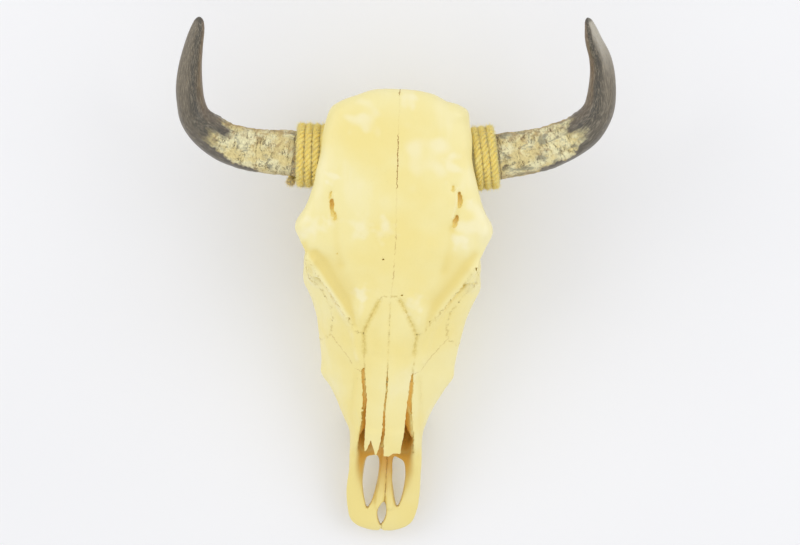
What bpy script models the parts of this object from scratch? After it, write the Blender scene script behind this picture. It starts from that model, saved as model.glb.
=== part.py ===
"""Skull of a horned cow, life size, lying on its cheek teeth with the forehead up.

The nose points to -Y, the poll to +Y and the animal's right side to -X. The origin is
on the floor, below the middle of the whole object with its horns. Positions in the
tables are millimetres: x from the skull's midline plane, y from the level of the front
half of the eye sockets, and z from the floor.
"""

import math

import bmesh
import bpy
from mathutils import Vector

MM = 0.001
MIDLINE_X = 3.6  # the horns are unequal, so the skull's midline is beside the middle
SOCKET_Y = 10.4  # where the tables' y = 0 lies, measured from the origin
SUTURE = 0.4  # gap between two bones
MIDLINE_GAP = SUTURE / 2

# Blocks that cut all the way through reach these lines, outside every bone.
SKY = 260.0
BELOW = -30.0
FRONT_Y = -330.0
SIDE_X = 135.0
FLOOR_BLOCK = [(-250, -400), (250, -400), (250, 300), (-250, 300)]
FLOOR_BLOCK_BOTTOM = -80.0

RING_POINTS = 36
VOXEL = 2.6
SOFT_JOIN_STEPS = 5
SOFT_RIM_STEPS = 2
BONE_TRIANGLES = 2850
WELD_DISTANCE = 0.02

ROPE_RADIUS = 4.1
ROPE_PITCH = 8.4
ROPE_TURNS = {"right": 4.13, "left": 3.0}
ROPE_POINTS_PER_TURN = 14

# Each cross-section is a superellipse: power 2 is an ellipse, more is boxy, less is pointed.
FOREHEAD_TOP_POWER = 2.8
WEDGE_POWER = 1.25  # underside of the forehead above the temples, between these two lines
WEDGE_FRONT_Y = 90
WEDGE_BACK_Y = 165
TOOTH_BONE_POWERS = (2.4, 2.8)

# Stations of the lofts: y, half width, height of the widest line, top, bottom.
FOREHEAD = [
    (200.5, 26, 178, 189, 166),
    (197, 42, 176, 194, 150),
    (188, 66, 174, 197, 135),
    (179, 75.5, 174, 197.5, 130),
    (168, 79, 174, 197, 130),
    (148, 82, 174, 195.5, 132),
    (128, 83.5, 174, 193.5, 136),
    (110, 88, 174, 191.5, 140),
    (94, 92.5, 171, 189.5, 142),
    (74, 98.7, 167, 186, 143),
    (58, 106, 164, 182, 144),
    (47, 109.5, 162, 179, 145),
    (38, 106, 162, 176.5, 145),
    (26, 101.5, 161.5, 173, 142),
    (9, 95, 158, 167, 138),
    (-10, 81.5, 151.5, 159.5, 128),
    (-30, 66.5, 142, 151.5, 118),
    (-50, 52.5, 134, 145, 108),
    (-68, 42, 124, 137, 98),
    (-90, 30, 108, 126, 88),
]
FACE = [
    (24, 97, 99, 150, 90),
    (8, 100.5, 100, 152, 72),
    (-16, 101, 100, 150, 50),
    (-35, 92.5, 93, 147, 34),
    (-53, 86, 87, 142, 28),
    (-82, 81.3, 78, 133, 25),
    (-110, 77, 70, 124.5, 24),
    (-119.5, 78.5, 67, 122, 24),
    (-129, 71, 65, 119.5, 24),
    (-148, 59.8, 62, 113, 24),
    (-167, 50.2, 58, 106.5, 24),
    (-187, 43, 54, 99, 24),
    (-205, 41.7, 50, 91, 24),
    (-213, 42, 49, 76, 24),
    (-235, 42.6, 46, 62, 23),
    (-255, 43, 41, 51, 21),
    (-275, 42.5, 36, 43, 19),
    (-292, 39, 31, 37, 17),
    (-302, 30, 28, 33, 17.5),
    (-307.5, 11, 26, 30, 20),
]
FACE_TOP_POWER = [
    2.3, 2.3, 2.2, 2.1, 2.0, 1.7, 1.5, 1.45, 1.5, 1.6, 1.9, 2.2, 2.4, 2.4, 2.4, 2.4, 2.4, 2.4, 2.4, 2.4,
]
BRAINCASE = [
    (10, 34, 110, 145, 82),
    (40, 44, 116, 158, 72),
    (80, 51, 118, 168, 62),
    (120, 56, 116, 172, 58),
    (150, 64, 110, 172, 58),
    (170, 73, 104, 174, 60),
    (183, 71, 104, 178, 64),
    (191, 54, 106, 178, 74),
]
SKULL_BASE = [
    (-8, 9, 62, 84, 52),
    (30, 13, 60, 84, 46),
    (80, 16, 58, 80, 44),
    (130, 19, 57, 78, 43),
    (185, 24, 60, 78, 48),
]
NASAL_CAVITY = [
    (14, 20, 95, 122, 66),
    (-20, 30, 96, 136, 50),
    (-53, 40, 96, 135, 38),
    (-82, 42, 96, 126.5, 36),
    (-119, 38, 84, 115, 35),
    (-148, 33, 76, 106, 34),
    (-167, 31, 70, 99.5, 34),
    (-187, 31, 64, 92.5, 34),
    (-205, 33, 62, 85, 34),
    (-213, 34, 62, 86, 34),
    (-235, 33, 62, 90, 33),
    (-255, 29, 60, 90, 32),
    (-270, 22, 56, 90, 31),
    (-282, 10, 50, 90, 34),
]
CHOANAE = [(40, 15, 66, 84, 50), (0, 18, 62, 84, 40), (-40, 20, 62, 80, 42)]
PALATE_VAULT = [
    (12, 34, 0, 34, -20),
    (-40, 36, 0, 30, -20),
    (-110, 34, 0, 29, -20),
    (-170, 28, 0, 27.5, -20),
    (-205, 24, 0, 26, -20),
    (-250, 18, 0, 24, -20),
]

# Bone round the roots of the teeth on the right: x of the middle, then a station as above.
ALVEOLUS = [
    (-34, (-186, 6, 42, 56, 30)),
    (-38, (-172, 10, 40, 60, 21)),
    (-43, (-148, 13, 40, 62, 18)),
    (-48, (-110, 15.5, 40, 64, 17)),
    (-51.5, (-72, 17, 40, 66, 17)),
    (-52, (-42, 17, 42, 68, 18)),
    (-49, (-24, 12, 50, 70, 30)),
]

# The upright plate behind the palate on the right, written the same way.
PTERYGOID = [
    (-21, (-20, 4, 60, 84, 32)),
    (-21, (0, 4, 60, 88, 38)),
    (-21, (18, 4, 62, 90, 40)),
    (-20, (34, 4, 66, 90, 46)),
    (-18, (58, 5, 72, 90, 56)),
]

# Cheek teeth from front to back: y of the middle, x of the middle, length, width.
TEETH = [
    (-164, 39, 14, 14),
    (-147, 42.5, 18, 17),
    (-128, 45.5, 18, 19),
    (-107, 48.5, 22, 22),
    (-82, 51, 26, 24),
    (-54, 52.5, 28, 24),
]
TOOTH_ROOT_Z = 40
TOOTH_WAIST = 0.72

# Round bars of bone on the right side, mirrored on the left: points (x, y, z), radii.
ZYGOMATIC_ARCH = [
    (-90, -12, 99), (-93, 10, 98), (-92, 30, 99), (-89, 48, 99), (-84, 66, 98),
    (-79, 86, 97), (-72, 104, 98), (-62, 118, 100), (-50, 128, 102),
]
ARCH_RADII = [9, 9, 9, 9.5, 8.5, 8.5, 9, 10, 13]
POSTORBITAL_BAR = [(-99, 50, 163), (-99, 54, 145), (-95, 54, 122), (-89, 50, 102)]
BAR_RADII = [11, 8, 7.5, 9]
ORBIT_FRONT_RIM = [(-89, 8, 158), (-87, -3, 145), (-87, -9, 128), (-90, -6, 106)]
RIM_RADII = [6, 6, 7, 8]
JUGULAR_PROCESS = [(-54, 164, 90), (-54, 167, 56), (-51, 170, 26), (-48, 170, -6)]
JUGULAR_RADII = [18, 13, 10, 8]
BARS = {
    "zygomatic_arch": (ZYGOMATIC_ARCH, ARCH_RADII),
    "postorbital_bar": (POSTORBITAL_BAR, BAR_RADII),
    "orbit_front_rim": (ORBIT_FRONT_RIM, RIM_RADII),
    "jugular_process": (JUGULAR_PROCESS, JUGULAR_RADII),
}

PEDICLE_RADIUS = 26.3
PEDICLE_START_X = 50.0
PEDICLE_LENGTH = {"right": 22.3, "left": 21.9}  # beyond the start of the rope's axis

CONDYLE = ((-25, 183, 68), (16, 16, 21))
BULLA = ((-33, 124, 55), (11, 19, 19))
FORAMEN_MAGNUM = ((0, 196, 88), (18, 26, 17))
ORBIT = ((-98, 27, 133), (47, 27, 25.5))
POLL_CORNER = ((62, 177, 173), (15, 12.5, 19))  # the poll is squarer on the left

# Seen from above, the line of each suture on the right side.
JAW_TO_FRONTAL = [
    (-SIDE_X, 12), (-94, 9), (-73, -20), (-52, -49), (-45, -56), (-40, -68), (-29, -71),
    (-MIDLINE_GAP, -71),
]
JAW_TO_PALATE = [
    (-SIDE_X, -2), (-94, -3), (-74, -4), (-56, -5), (-45, -6), (-38, -8), (-20, -12),
    (-MIDLINE_GAP, -14),
]
JAW_LEVELS = (84.0, 112.0)  # below the first the palate's edge parts them, above the second the face's
CHEEK_EDGE = [
    (-SIDE_X, -82), (-77, -80), (-67, -73), (-65, -54), (-68, -43), (-78, -28), (-82, -6),
    (-76, 12), (-76, 60), (-SIDE_X, 60),
]
CHEEK_LEVELS = (58.0, 136.0)
PREMAXILLA_TOP = [(-MIDLINE_GAP, -124), (-39, -124), (-40, -148), (-62, -172), (-SIDE_X, FRONT_Y)]
PREMAXILLA_BOTTOM = [(-MIDLINE_GAP, -205), (-39, -205), (-40, -206), (-62, -208), (-SIDE_X, FRONT_Y)]
PREMAXILLA_LEVELS = (34.0, 90.0)

# Seen from above, the two nasal bones and the holes around them. They differ a little.
NASAL_RIGHT = [
    (-0.2, -31), (-10, -37), (-19, -47), (-24, -57), (-29, -70), (-27.5, -89), (-26.4, -109),
    (-25.5, -117), (-21.4, -147), (-22.7, -182), (-21.2, -208), (-16, -194), (-9.5, -212),
    (-4.6, -195), (-3, -157), (-1.2, -134), (-0.2, -113),
]
NASAL_LEFT = [
    (0.2, -31), (0.2, -113), (1.0, -134), (-0.8, -157), (-2.2, -194), (2.6, -211.5),
    (11.7, -208.5), (18.6, -208), (21.6, -174), (24.3, -145), (25.8, -127), (28.5, -112),
    (30.4, -92), (31.6, -71), (24, -55), (17, -42), (9, -35),
]
NASAL_FLOOR_Z = 78.0
APERTURE_FLOOR_Z = 62.0
APERTURE_RIGHT = [(-29, -110), (-30, -117), (-26.5, -147), (-28, -182), (-32, -208), (-33, -222)]
APERTURE_LEFT = [(33, -222), (33, -208), (31, -180), (29, -145), (30.3, -127), (29, -112)]
FISSURE_RIGHT = [(-7, -219), (-19.5, -220), (-25, -236), (-23.5, -259), (-17.2, -279), (-11.7, -270)]
FISSURE_LEFT = [(9.8, -218), (12.2, -246), (18.9, -279), (25.7, -257), (26.5, -234), (20, -219)]
INTERINCISIVE = [(1.5, -272.5), (-5, -288), (0.2, -300), (5.7, -288)]

# Horn centre lines, from beyond the ropes to the tip: x, y, z and radius.
HORN_RIGHT = [
    (-120, 128.5, 141.5, 25.2), (-145, 129, 144, 24.9),
    (-168, 131, 147, 23.6), (-191, 137, 151, 22.3), (-212, 149.5, 157, 20.4),
    (-224.5, 162, 162, 17.6), (-229.5, 177, 168, 15.8), (-231.5, 195, 175, 15.0),
    (-230.6, 216, 184, 13.0), (-226.7, 237, 193, 10.5), (-221.5, 257, 202, 7.2),
    (-219.7, 268, 206.5, 3.5),
]
HORN_LEFT = [
    (122, 136.3, 142, 25.6), (153.5, 142.7, 145, 24.8),
    (175, 149.5, 149, 23.6), (195, 159, 153, 21.6), (210, 171, 159, 20.2),
    (220.5, 187, 165, 17.5), (223.5, 204, 171, 15.8), (222.3, 227, 180, 13.7),
    (217.9, 245, 188, 12.1), (210.5, 261, 195, 9.6), (204.4, 276, 202, 5.9),
    (200.7, 285, 206.5, 2.9),
]
# Start of each rope's axis, and the way it winds.
ROPE_AXES = {
    "right": ((-80.7, 127.2, 141), (-1.0, 0.0, 0.0)),
    "left": ((81.3, 130.2, 141), (0.99, 0.14, 0.0)),
}
HORN_GAP = 0.3
HORN_SQUARE_LENGTH = 4.0
HORN_BASE_RADIUS = 25.4
ROPE_COIL_RADIUS = PEDICLE_RADIUS + ROPE_RADIUS + 1.2
ROPE_ROOM = 0.4  # kept free between the rope and the bone
ROPE_START_TURN = {"right": -1 / 6, "left": 0.75}  # a turn starts at the side, then goes over the top
ROPE_EVEN_ADVANCE = 0.25  # share of a turn's advance that is even, the rest is below the horn
ROPE_TAIL_TURN = {"right": 3.75, "left": 9.0}  # where the loose end starts to leave the coil
ROPE_TAIL_LENGTH = 0.2  # in turns
ROPE_TAIL_DRIFT = 4.5

BONE_COLOUR = (0.90, 0.82, 0.46, 1.0)
HORN_COLOUR = (0.33, 0.27, 0.19, 1.0)
ROPE_COLOUR = (0.74, 0.56, 0.20, 1.0)


def clear_scene():
    for old in list(bpy.data.objects):
        bpy.data.objects.remove(old, do_unlink=True)


def new_collection(name):
    made = bpy.data.collections.new(name)
    bpy.context.scene.collection.children.link(made)
    return made


def new_material(name, colour, roughness):
    made = bpy.data.materials.new(name)
    made.use_nodes = True
    surface = made.node_tree.nodes["Principled BSDF"]
    surface.inputs["Base Color"].default_value = colour
    surface.inputs["Roughness"].default_value = roughness
    surface.inputs["Metallic"].default_value = 0.0
    return made


def place(point):
    return Vector(((point[0] + MIDLINE_X) * MM, (point[1] + SOCKET_Y) * MM, point[2] * MM))


def mirrored(points):
    return [(-point[0], *point[1:]) for point in reversed(points)]


def object_from(bm, name, collection):
    mesh = bpy.data.meshes.new(name)
    bm.to_mesh(mesh)
    bm.free()
    made = bpy.data.objects.new(name, mesh)
    collection.objects.link(made)
    return made


def loft_object(rings, name, collection):
    """One closed skin over rings that all have the same number of points.

    Its bent faces are split the same way each time, so a block and the same block
    grown by the suture's gap stay apart all over.
    """
    bm = bmesh.new()
    loops = [[bm.verts.new(place(point)) for point in ring] for ring in rings]
    count = len(loops[0])
    for near, far in zip(loops, loops[1:]):
        for i in range(count):
            j = (i + 1) % count
            bm.faces.new((near[i], near[j], far[j]))
            bm.faces.new((near[i], far[j], far[i]))
    bm.faces.new(loops[0])
    bm.faces.new(loops[-1])
    bmesh.ops.recalc_face_normals(bm, faces=bm.faces)
    return object_from(bm, name, collection)


def signed_power(value, power):
    return math.copysign(abs(value) ** power, value)


def oval_ring(station, top_power, bottom_power, middle_x=0.0):
    """An upright cross-section: a rounded top and bottom that meet at the widest line."""
    y, half_width, widest, top, bottom = station
    ring = []
    for i in range(RING_POINTS):
        angle = 2 * math.pi * i / RING_POINTS
        upper = math.sin(angle) >= 0
        power = 2 / (top_power if upper else bottom_power)
        reach = (top - widest) if upper else (widest - bottom)
        x = middle_x + half_width * signed_power(math.cos(angle), power)
        z = widest + reach * signed_power(math.sin(angle), power)
        ring.append((x, y, z))
    return ring


def body_loft(stations, name, collection, top_power=2.0, bottom_power=2.0):
    powers = top_power if isinstance(top_power, list) else [top_power] * len(stations)
    rings = [oval_ring(s, p, bottom_power) for s, p in zip(stations, powers)]
    return loft_object(rings, name, collection)


def forehead_loft(collection):
    """A broad shelf, thick at the poll and wedge-shaped where it overhangs the temples."""
    rings = []
    for station in FOREHEAD:
        wedge = WEDGE_FRONT_Y < station[0] < WEDGE_BACK_Y
        rings.append(oval_ring(station, FOREHEAD_TOP_POWER, WEDGE_POWER if wedge else 2.0))
    return loft_object(rings, "forehead", collection)


def tooth_row(collection):
    """Six crowns in one bar, pinched between each tooth and the next."""
    rings = []
    for y, x, length, width in TEETH:
        for step, share in ((-0.5, TOOTH_WAIST), (-0.25, 1.0), (0.25, 1.0), (0.5, TOOTH_WAIST)):
            half = width * share / 2
            near, far = -x + half, -x - half
            along = y + step * length
            rings.append([(far, along, 0), (near, along, 0), (near, along, TOOTH_ROOT_Z),
                          (far, along, TOOTH_ROOT_Z)])
    return loft_object(rings, "tooth_row", collection)


def prism(outline, bottom, top, name, collection):
    rings = [[(x, y, z) for x, y in outline] for z in (bottom, top)]
    return loft_object(rings, name, collection)


def grown(outline, distance):
    """The same outline with every side moved outwards."""
    area = sum(a[0] * b[1] - b[0] * a[1] for a, b in zip(outline, outline[1:] + outline[:1]))
    turn = math.copysign(distance, area)
    moved = []
    for i, here in enumerate(outline):
        before = Vector(here) - Vector(outline[i - 1])
        after = Vector(outline[(i + 1) % len(outline)]) - Vector(here)
        normals = [Vector((side.y, -side.x)).normalized() for side in (before, after)]
        middle = (normals[0] + normals[1]).normalized()
        moved.append(tuple(Vector(here) + middle * turn / max(0.5, middle.dot(normals[0]))))
    return moved


def ball(centre_and_radii, name, collection):
    centre, radii = centre_and_radii
    bm = bmesh.new()
    bmesh.ops.create_uvsphere(bm, u_segments=28, v_segments=16, radius=1.0)
    for vert in bm.verts:
        vert.co = place([c + r * v for c, r, v in zip(centre, radii, vert.co)])
    return object_from(bm, name, collection)


def tube(points, radii, name, collection, resolution=2):
    """A round bar along a line of points, made a mesh with its end caps welded."""
    curve = bpy.data.curves.new(name, "CURVE")
    curve.dimensions = "3D"
    curve.bevel_depth = MM
    curve.bevel_resolution = resolution
    curve.use_fill_caps = True
    spline = curve.splines.new("POLY")
    spline.points.add(len(points) - 1)
    for target, point, radius in zip(spline.points, points, radii):
        target.co = (*place(point), 1.0)
        target.radius = radius
    drawn = bpy.data.objects.new(name, curve)
    collection.objects.link(drawn)
    depsgraph = bpy.context.evaluated_depsgraph_get()
    mesh = bpy.data.meshes.new_from_object(drawn.evaluated_get(depsgraph))
    bm = bmesh.new()
    bm.from_mesh(mesh)
    bmesh.ops.remove_doubles(bm, verts=bm.verts, dist=WELD_DISTANCE * MM)
    bpy.data.objects.remove(drawn, do_unlink=True)
    bpy.data.meshes.remove(mesh)
    return object_from(bm, name, collection)


def mirror_copy(source, name, collection):
    bm = bmesh.new()
    bm.from_mesh(source.data)
    for vert in bm.verts:
        vert.co.x = 2 * MIDLINE_X * MM - vert.co.x
    bmesh.ops.reverse_faces(bm, faces=bm.faces)
    return object_from(bm, name, collection)


def both_sides(right, collection):
    return [right, mirror_copy(right, right.name + "_mirrored", collection)]


def joined(objects, name, collection):
    bm = bmesh.new()
    for piece in objects:
        bm.from_mesh(piece.data)
        bpy.data.objects.remove(piece, do_unlink=True)
    return object_from(bm, name, collection)


def baked(target, name, collection):
    """The object with its modifiers carried out, as a plain mesh."""
    depsgraph = bpy.context.evaluated_depsgraph_get()
    mesh = bpy.data.meshes.new_from_object(target.evaluated_get(depsgraph))
    made = bpy.data.objects.new(name, mesh)
    collection.objects.link(made)
    return made


def add_boolean(target, operation, cutter):
    """Skins as dense as these leave the exact solver with open edges, so this is manifold."""
    modifier = target.modifiers.new(f"{operation.lower()} {cutter.name}", "BOOLEAN")
    modifier.operation = operation
    modifier.object = cutter
    modifier.solver = "MANIFOLD"


def body_of(vert):
    """Every vertex that is joined to this one through edges."""
    found = {vert}
    waiting = [vert]
    while waiting:
        for edge in waiting.pop().link_edges:
            for other in edge.verts:
                if other not in found:
                    found.add(other)
                    waiting.append(other)
    return found


def drop_chips(mesh):
    """Keep the largest body of a cut bone and weld the points that the cuts left together."""
    bm = bmesh.new()
    bm.from_mesh(mesh)
    bmesh.ops.remove_doubles(bm, verts=bm.verts, dist=WELD_DISTANCE * MM)
    unseen = set(bm.verts)
    bodies = []
    while unseen:
        body = body_of(unseen.pop())
        unseen -= body
        bodies.append(body)
    bodies.sort(key=len)
    chips = [vert for body in bodies[:-1] for vert in body]
    bmesh.ops.delete(bm, geom=chips, context="VERTS")
    bmesh.ops.triangulate(bm, faces=bm.faces)
    bm.to_mesh(mesh)
    bm.free()


def solid_skull(guides):
    """The outer form of all the bones together, before any hollow is made."""
    pieces = [
        forehead_loft(guides),
        body_loft(FACE, "face", guides, FACE_TOP_POWER, 2.6),
        body_loft(BRAINCASE, "braincase", guides, 2.4, 2.2),
        body_loft(SKULL_BASE, "skull_base", guides),
    ]
    for name, stations in (("alveolus", ALVEOLUS), ("pterygoid", PTERYGOID)):
        rings = [oval_ring(station, *TOOTH_BONE_POWERS, x) for x, station in stations]
        pieces += both_sides(loft_object(rings, name, guides), guides)
    for name, (points, radii) in BARS.items():
        pieces += both_sides(tube(points, radii, name, guides), guides)
    pieces += both_sides(ball(CONDYLE, "condyle", guides), guides)
    pieces += both_sides(ball(BULLA, "bulla", guides), guides)
    pieces.append(ball(POLL_CORNER, "poll_corner", guides))
    return joined(pieces, "solid_skull", guides)


def hollows(cutters):
    """The spaces that open to the outside."""
    return [
        body_loft(NASAL_CAVITY, "nasal_cavity", cutters, 2.6, 3.0),
        body_loft(CHOANAE, "choanae", cutters, 2.5, 2.5),
        body_loft(PALATE_VAULT, "palate_vault", cutters, 3.5, 2.0),
        *both_sides(ball(ORBIT, "orbit", cutters), cutters),
        ball(FORAMEN_MAGNUM, "foramen_magnum", cutters),
    ]


def add_skin(target, smoothing_steps):
    """One even skin round all that overlaps, smoothed a little."""
    remesh = target.modifiers.new("one skin", "REMESH")
    remesh.mode = "VOXEL"
    remesh.voxel_size = VOXEL * MM
    smooth = target.modifiers.new("soft edges", "SMOOTH")
    smooth.factor = 0.5
    smooth.iterations = smoothing_steps


def whole_skull(guides, cutters):
    """The bones in one skin, smoothed at the joins, hollowed, and thinned to few faces."""
    solid = solid_skull(guides)
    add_skin(solid, SOFT_JOIN_STEPS)
    for cutter in hollows(cutters):
        add_boolean(solid, "DIFFERENCE", cutter)
    add_skin(solid, SOFT_RIM_STEPS)
    carved = baked(solid, "carved_skull", guides)
    triangles = sum(len(face.vertices) - 2 for face in carved.data.polygons)
    fewer = carved.modifiers.new("fewer faces", "DECIMATE")
    fewer.ratio = BONE_TRIANGLES / triangles
    return baked(carved, "whole_skull", guides)


def both_outlines(outline):
    return {"right": outline, "left": mirrored(outline)}


def stepped_block(lower, upper, levels, name, cutters, growth=0.0):
    """A block whose side follows one outline low down and another one high up."""
    heights = [(lower, BELOW), (lower, levels[0]), (upper, levels[1]), (upper, SKY)]
    rings = []
    for outline, z in heights:
        shape = grown(outline, growth) if growth else outline
        rings.append([(x, y, z) for x, y in shape])
    return loft_object(rings, name, cutters)


def jaw_block(side, cutters, growth=0.0):
    front = [(-MIDLINE_GAP, FRONT_Y), (-SIDE_X, FRONT_Y)]
    upper = both_outlines(front + JAW_TO_FRONTAL)[side]
    lower = both_outlines(front + JAW_TO_PALATE)[side]
    return stepped_block(lower, upper, JAW_LEVELS, f"jaw_block_{side}_{growth}", cutters, growth)


def premaxilla_block(side, cutters, growth=0.0):
    tip = [(-MIDLINE_GAP, FRONT_Y)]
    upper = both_outlines(PREMAXILLA_TOP + tip)[side]
    lower = both_outlines(PREMAXILLA_BOTTOM + tip)[side]
    name = f"premaxilla_block_{side}_{growth}"
    return stepped_block(lower, upper, PREMAXILLA_LEVELS, name, cutters, growth)


def cheek_block(side, cutters, growth=0.0):
    bottom, top = CHEEK_LEVELS
    shape = grown(both_outlines(CHEEK_EDGE)[side], growth)
    return prism(shape, bottom - growth, top + growth, f"cheek_block_{side}_{growth}", cutters)


def nasal_block(side, cutters, growth=0.0):
    outline = {"right": NASAL_RIGHT, "left": NASAL_LEFT}[side]
    return prism(grown(outline, growth), NASAL_FLOOR_Z, SKY, f"nasal_block_{side}_{growth}", cutters)


def rope_axis(side):
    start, direction = ROPE_AXES[side]
    return Vector(start), Vector(direction).normalized()


def pedicle(side, cutters):
    """The bony stump that carries the horn, square to its axis at the end."""
    start, direction = rope_axis(side)
    inner = start - direction * (abs(start.x) - PEDICLE_START_X)
    outer = start + direction * PEDICLE_LENGTH[side]
    return tube([inner, outer], [PEDICLE_RADIUS] * 2, f"pedicle_{side}", cutters, 6)


def bone(name, whole, keep, add, remove, skull, material):
    """The part of the whole inside `keep`, with solids added and then spaces taken out."""
    copy = bpy.data.objects.new(name + "_rough", whole.data)
    bpy.context.scene.collection.objects.link(copy)
    if keep:
        add_boolean(copy, "INTERSECT", keep)
    for piece in add:
        add_boolean(copy, "UNION", piece)
    for cutter in remove:
        add_boolean(copy, "DIFFERENCE", cutter)
    made = baked(copy, name, skull)
    bpy.data.objects.remove(copy, do_unlink=True)
    drop_chips(made.data)
    made.data.materials.clear()
    made.data.materials.append(material)
    return made


def bones(skull, guides, cutters, material):
    whole = whole_skull(guides, cutters)
    floor = prism(FLOOR_BLOCK, FLOOR_BLOCK_BOTTOM, 0, "floor", cutters)
    aperture = prism(APERTURE_RIGHT + APERTURE_LEFT, APERTURE_FLOOR_Z, SKY, "aperture", cutters)
    holes = [prism(outline, BELOW, SKY, f"palate_hole_{i}", cutters)
             for i, outline in enumerate((FISSURE_RIGHT, FISSURE_LEFT, INTERINCISIVE))]
    teeth = dict(zip(("right", "left"), both_sides(tooth_row(cutters), cutters)))
    wide = {}
    for side in ("right", "left"):
        wide[side] = {
            "jaw": jaw_block(side, cutters, SUTURE),
            "premaxilla": premaxilla_block(side, cutters, SUTURE),
            "cheek": cheek_block(side, cutters, SUTURE),
            "nasal": nasal_block(side, cutters, SUTURE),
        }
    nasals = [wide[side]["nasal"] for side in wide]
    for side, taken in wide.items():
        bone(f"upper_jaw_{side}", whole, jaw_block(side, cutters), [teeth[side]],
             [taken["premaxilla"], taken["cheek"], *nasals, aperture, floor], skull, material)
        bone(f"premaxilla_{side}", whole, premaxilla_block(side, cutters), [],
             [*nasals, aperture, *holes], skull, material)
        bone(f"cheekbone_{side}", whole, cheek_block(side, cutters), [], [], skull, material)
        bone(f"nasal_{side}", whole, nasal_block(side, cutters), [], [], skull, material)
    taken = [wide[side][kind] for side in wide for kind in ("jaw", "cheek")]
    taken += [rope_coil(side, ROPE_RADIUS + ROPE_ROOM, f"rope_room_{side}", cutters) for side in wide]
    stumps = [pedicle(side, cutters) for side in wide]
    bone("cranium", whole, None, stumps, [*taken, *nasals, floor], skull, material)


def curve_through(stations, steps):
    """Stations (x, y, z, radius) and the points between them on a smooth curve."""
    ends = [stations[0], *stations, stations[-1]]
    points = []
    for a, b, c, d in zip(ends, ends[1:], ends[2:], ends[3:]):
        for step in range(steps):
            t = step / steps
            points.append([
                b[k] + 0.5 * t * (c[k] - a[k] + t * (2 * a[k] - 5 * b[k] + 4 * c[k] - d[k]
                                                     + t * (3 * (b[k] - c[k]) + d[k] - a[k])))
                for k in range(4)
            ])
    points.append(list(stations[-1]))
    return points


def horn(side, stations, skull, material):
    """The horn's base lies flat against the end of its stump, under the rope."""
    start, direction = rope_axis(side)
    base = start + direction * (PEDICLE_LENGTH[side] + HORN_GAP)
    square_end = base + direction * HORN_SQUARE_LENGTH
    points = [(*base, HORN_BASE_RADIUS)]
    points += curve_through([(*square_end, HORN_BASE_RADIUS), *stations], 2)
    made = tube([p[:3] for p in points], [p[3] for p in points], f"horn_{side}", skull, 4)
    made.data.materials.append(material)


def eased(share):
    share = min(1.0, max(0.0, share))
    return share * share * (3 - 2 * share)


def rope_advance(side, turn):
    """How far along the axis the rope lies, for it moves on mostly where it passes below."""
    whole = math.floor(turn)
    share = turn - whole
    uneven = eased(2 * share - 1)
    advance = whole + ROPE_EVEN_ADVANCE * share + (1 - ROPE_EVEN_ADVANCE) * uneven
    loose = eased((turn - ROPE_TAIL_TURN[side]) / ROPE_TAIL_LENGTH)
    return ROPE_PITCH * advance + ROPE_TAIL_DRIFT * loose


def rope_coil(side, radius, name, collection):
    """A cord wound round the base of the horn, turn beside turn."""
    start, direction = rope_axis(side)
    across = Vector((-direction.y, direction.x, 0))
    up = Vector((0, 0, 1))
    count = round(ROPE_TURNS[side] * ROPE_POINTS_PER_TURN)
    points = []
    for i in range(count + 1):
        turn = ROPE_START_TURN[side] + ROPE_TURNS[side] * i / count
        angle = 2 * math.pi * turn
        out = across * math.cos(angle) + up * math.sin(angle)
        points.append(start + direction * rope_advance(side, turn) + out * ROPE_COIL_RADIUS)
    return tube(points, [radius] * len(points), name, collection)


def main():
    clear_scene()
    skull = new_collection("cow_skull")
    guides = new_collection("guides")
    cutters = new_collection("cutters")
    bone_surface = new_material("bone", BONE_COLOUR, 0.5)
    horn_surface = new_material("horn", HORN_COLOUR, 0.45)
    rope_surface = new_material("rope", ROPE_COLOUR, 0.9)
    bones(skull, guides, cutters, bone_surface)
    for side, stations in (("right", HORN_RIGHT), ("left", HORN_LEFT)):
        horn(side, stations, skull, horn_surface)
        cord = rope_coil(side, ROPE_RADIUS, f"rope_{side}", skull)
        cord.data.materials.append(rope_surface)
    for piece in list(guides.objects) + list(cutters.objects):
        piece.hide_render = True
        piece.display_type = "WIRE"


main()
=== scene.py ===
"""Looks of a horned cow skull that lies on its cheek teeth, with rope bound round its horns.

The bones are one field of distances on an even grid, put together from rounded sections,
bars and balls, cut along the sutures and skinned bone by bone. The horns and the ropes
are swept meshes. Positions in the tables are millimetres: x from the skull's midline
plane, y from the level of the front half of the eye sockets, and z from the floor.
"""

import math

import bmesh
import bpy
import numpy as np
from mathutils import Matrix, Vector


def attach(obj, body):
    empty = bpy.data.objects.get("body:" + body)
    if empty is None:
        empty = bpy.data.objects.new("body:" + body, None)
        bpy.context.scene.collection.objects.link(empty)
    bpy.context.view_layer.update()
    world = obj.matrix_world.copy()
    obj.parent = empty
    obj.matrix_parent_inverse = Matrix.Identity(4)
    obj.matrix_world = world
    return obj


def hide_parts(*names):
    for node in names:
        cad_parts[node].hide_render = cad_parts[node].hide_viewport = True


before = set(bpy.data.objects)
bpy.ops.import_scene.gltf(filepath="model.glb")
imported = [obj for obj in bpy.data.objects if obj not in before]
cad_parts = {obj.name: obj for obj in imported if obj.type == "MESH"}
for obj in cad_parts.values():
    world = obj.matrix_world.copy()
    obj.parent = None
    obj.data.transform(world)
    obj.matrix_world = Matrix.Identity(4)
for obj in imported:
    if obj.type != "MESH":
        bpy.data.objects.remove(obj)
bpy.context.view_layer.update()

MM = 0.001
SIDES = ("right", "left")  # the animal's own
MIDLINE_X = 3.6  # where the skull's midline and its level y = 0 lie in the CAD's frame
SOCKET_Y = 10.4

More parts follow.
